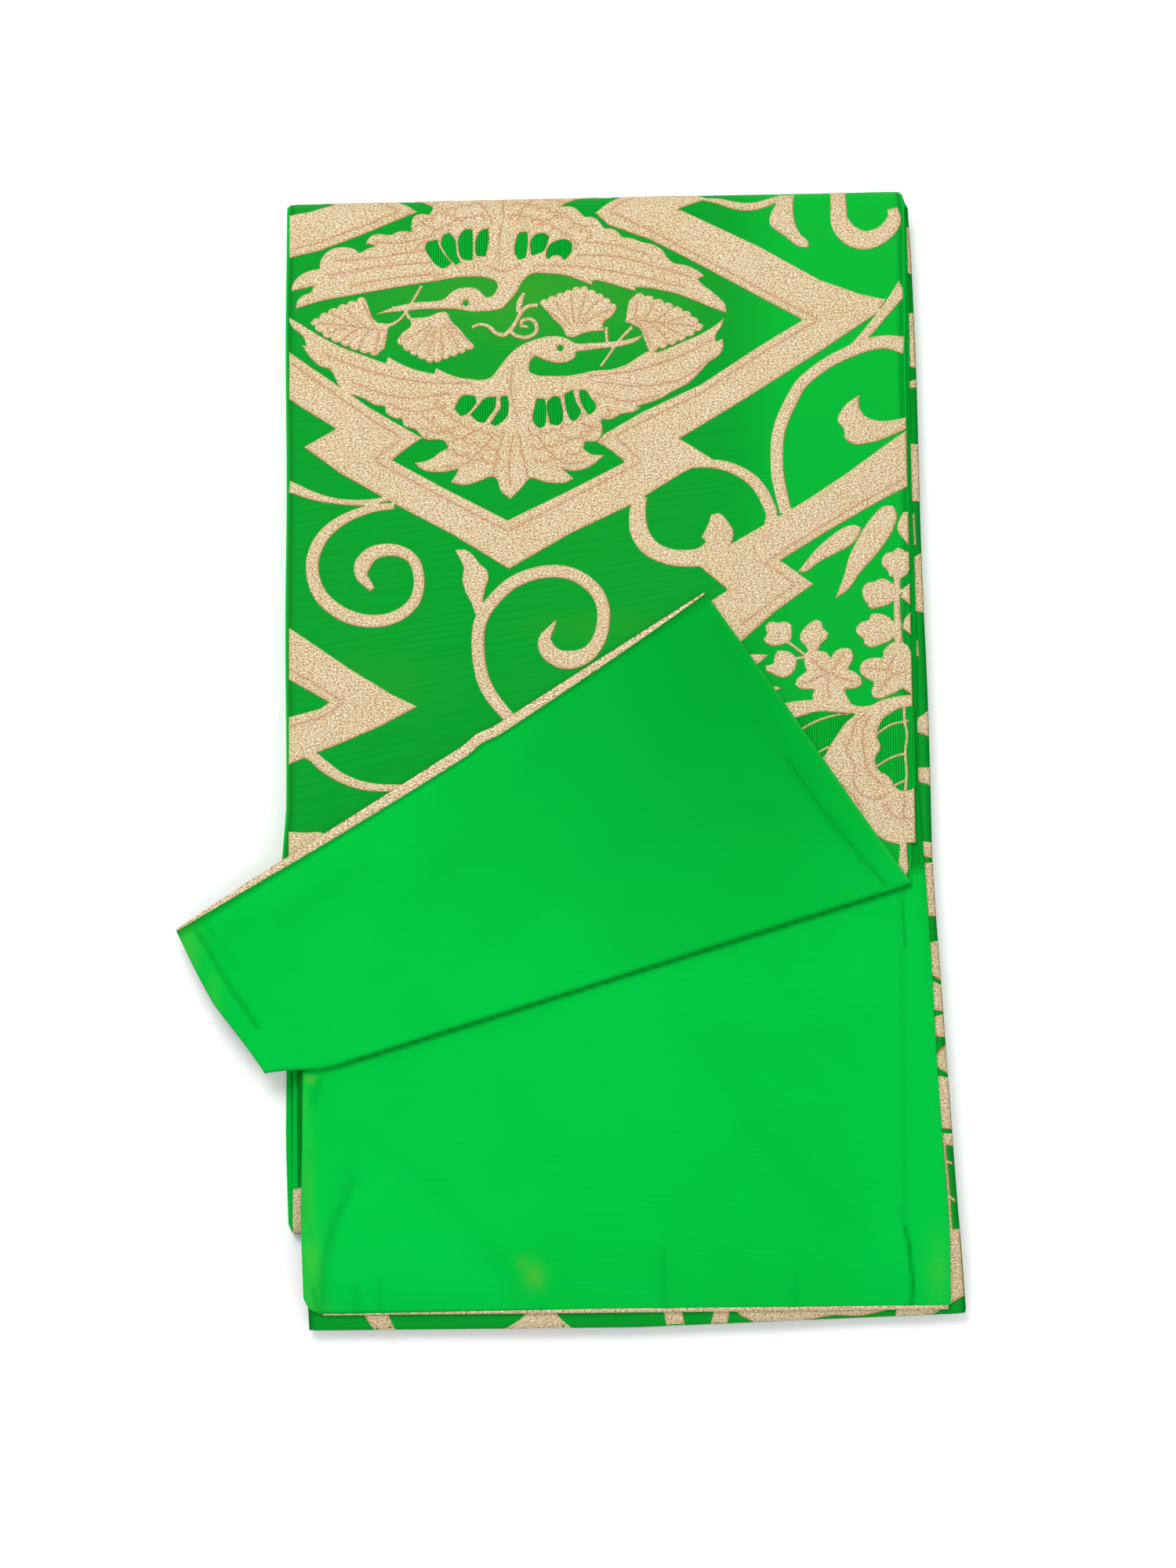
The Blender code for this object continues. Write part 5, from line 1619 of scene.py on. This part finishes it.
# %% The table
TABLE_SIZE = 6.0
bpy.ops.mesh.primitive_plane_add(size=TABLE_SIZE)
table = bpy.context.object
table.name = "table"
surface = bpy.data.materials.new("pale_table")
surface.use_nodes = True
tree = surface.node_tree
shader = tree.nodes["Principled BSDF"]
place = add(tree, "TexCoord").outputs["Object"]
grain = add(tree, "TexNoise", {"Vector": place, "Scale": 9.0, "Detail": 2.0}).outputs[0]
pale = blend(tree, grain, (0.90, 0.90, 0.90, 1), (0.94, 0.94, 0.94, 1))
tree.links.new(pale, shader.inputs["Base Color"])
shader.inputs["Roughness"].default_value = 0.85
shader.inputs["Specular IOR Level"].default_value = 0.1
table.data.materials.append(surface)
print("table:", TABLE_SIZE, "m wide,", surface.name)

# %% Light and world
def soft_light(name, place, size, power):
    """An area light at a place, turned to the sash."""
    lamp = bpy.data.lights.new(name, "AREA")
    lamp.shape = "DISK"
    lamp.size = size
    lamp.energy = power
    made = bpy.data.objects.new(name, lamp)
    made.location = place
    made.rotation_euler = (-Vector(place)).to_track_quat("-Z", "Y").to_euler()
    bpy.context.scene.collection.objects.link(made)
    return made


WORLD_STRENGTH = 0.72
key = soft_light("key", (-0.35, 0.9, 1.7), 0.9, 22.0)
fill = soft_light("fill", (0.9, -0.5, 1.9), 1.6, 9.0)
world = bpy.data.worlds.new("studio")
world.use_nodes = True
world.node_tree.nodes["Background"].inputs["Color"].default_value = (1.0, 1.0, 1.0, 1.0)
world.node_tree.nodes["Background"].inputs["Strength"].default_value = WORLD_STRENGTH
bpy.context.scene.world = world
bpy.context.scene.view_settings.view_transform = "Standard"
print("lights:", key.data.energy, "W and", fill.data.energy, "W; world", WORLD_STRENGTH)

# %% The camera
TILT, ROLL = math.radians(5.6), math.radians(0.6)
DISTANCE = 1.25
LENS, SENSOR = 58.5, 36.0
AIM = Vector((0.0115, -0.018, 0.020))
forward = Vector((0.0, math.sin(TILT), -math.cos(TILT)))
level_up = Vector((0.0, math.cos(TILT), math.sin(TILT)))
rightwards = math.cos(ROLL) * Vector((1.0, 0.0, 0.0)) - math.sin(ROLL) * level_up
upwards = math.sin(ROLL) * Vector((1.0, 0.0, 0.0)) + math.cos(ROLL) * level_up
camera = bpy.data.objects.new("camera", bpy.data.cameras.new("camera"))
camera.matrix_world = Matrix((
    (rightwards.x, upwards.x, -forward.x, (AIM - DISTANCE * forward).x),
    (rightwards.y, upwards.y, -forward.y, (AIM - DISTANCE * forward).y),
    (rightwards.z, upwards.z, -forward.z, (AIM - DISTANCE * forward).z),
    (0.0, 0.0, 0.0, 1.0),
))
camera.data.lens = LENS
camera.data.sensor_width = SENSOR
bpy.context.scene.collection.objects.link(camera)
bpy.context.scene.camera = camera
print("camera at", [round(value, 3) for value in camera.location])
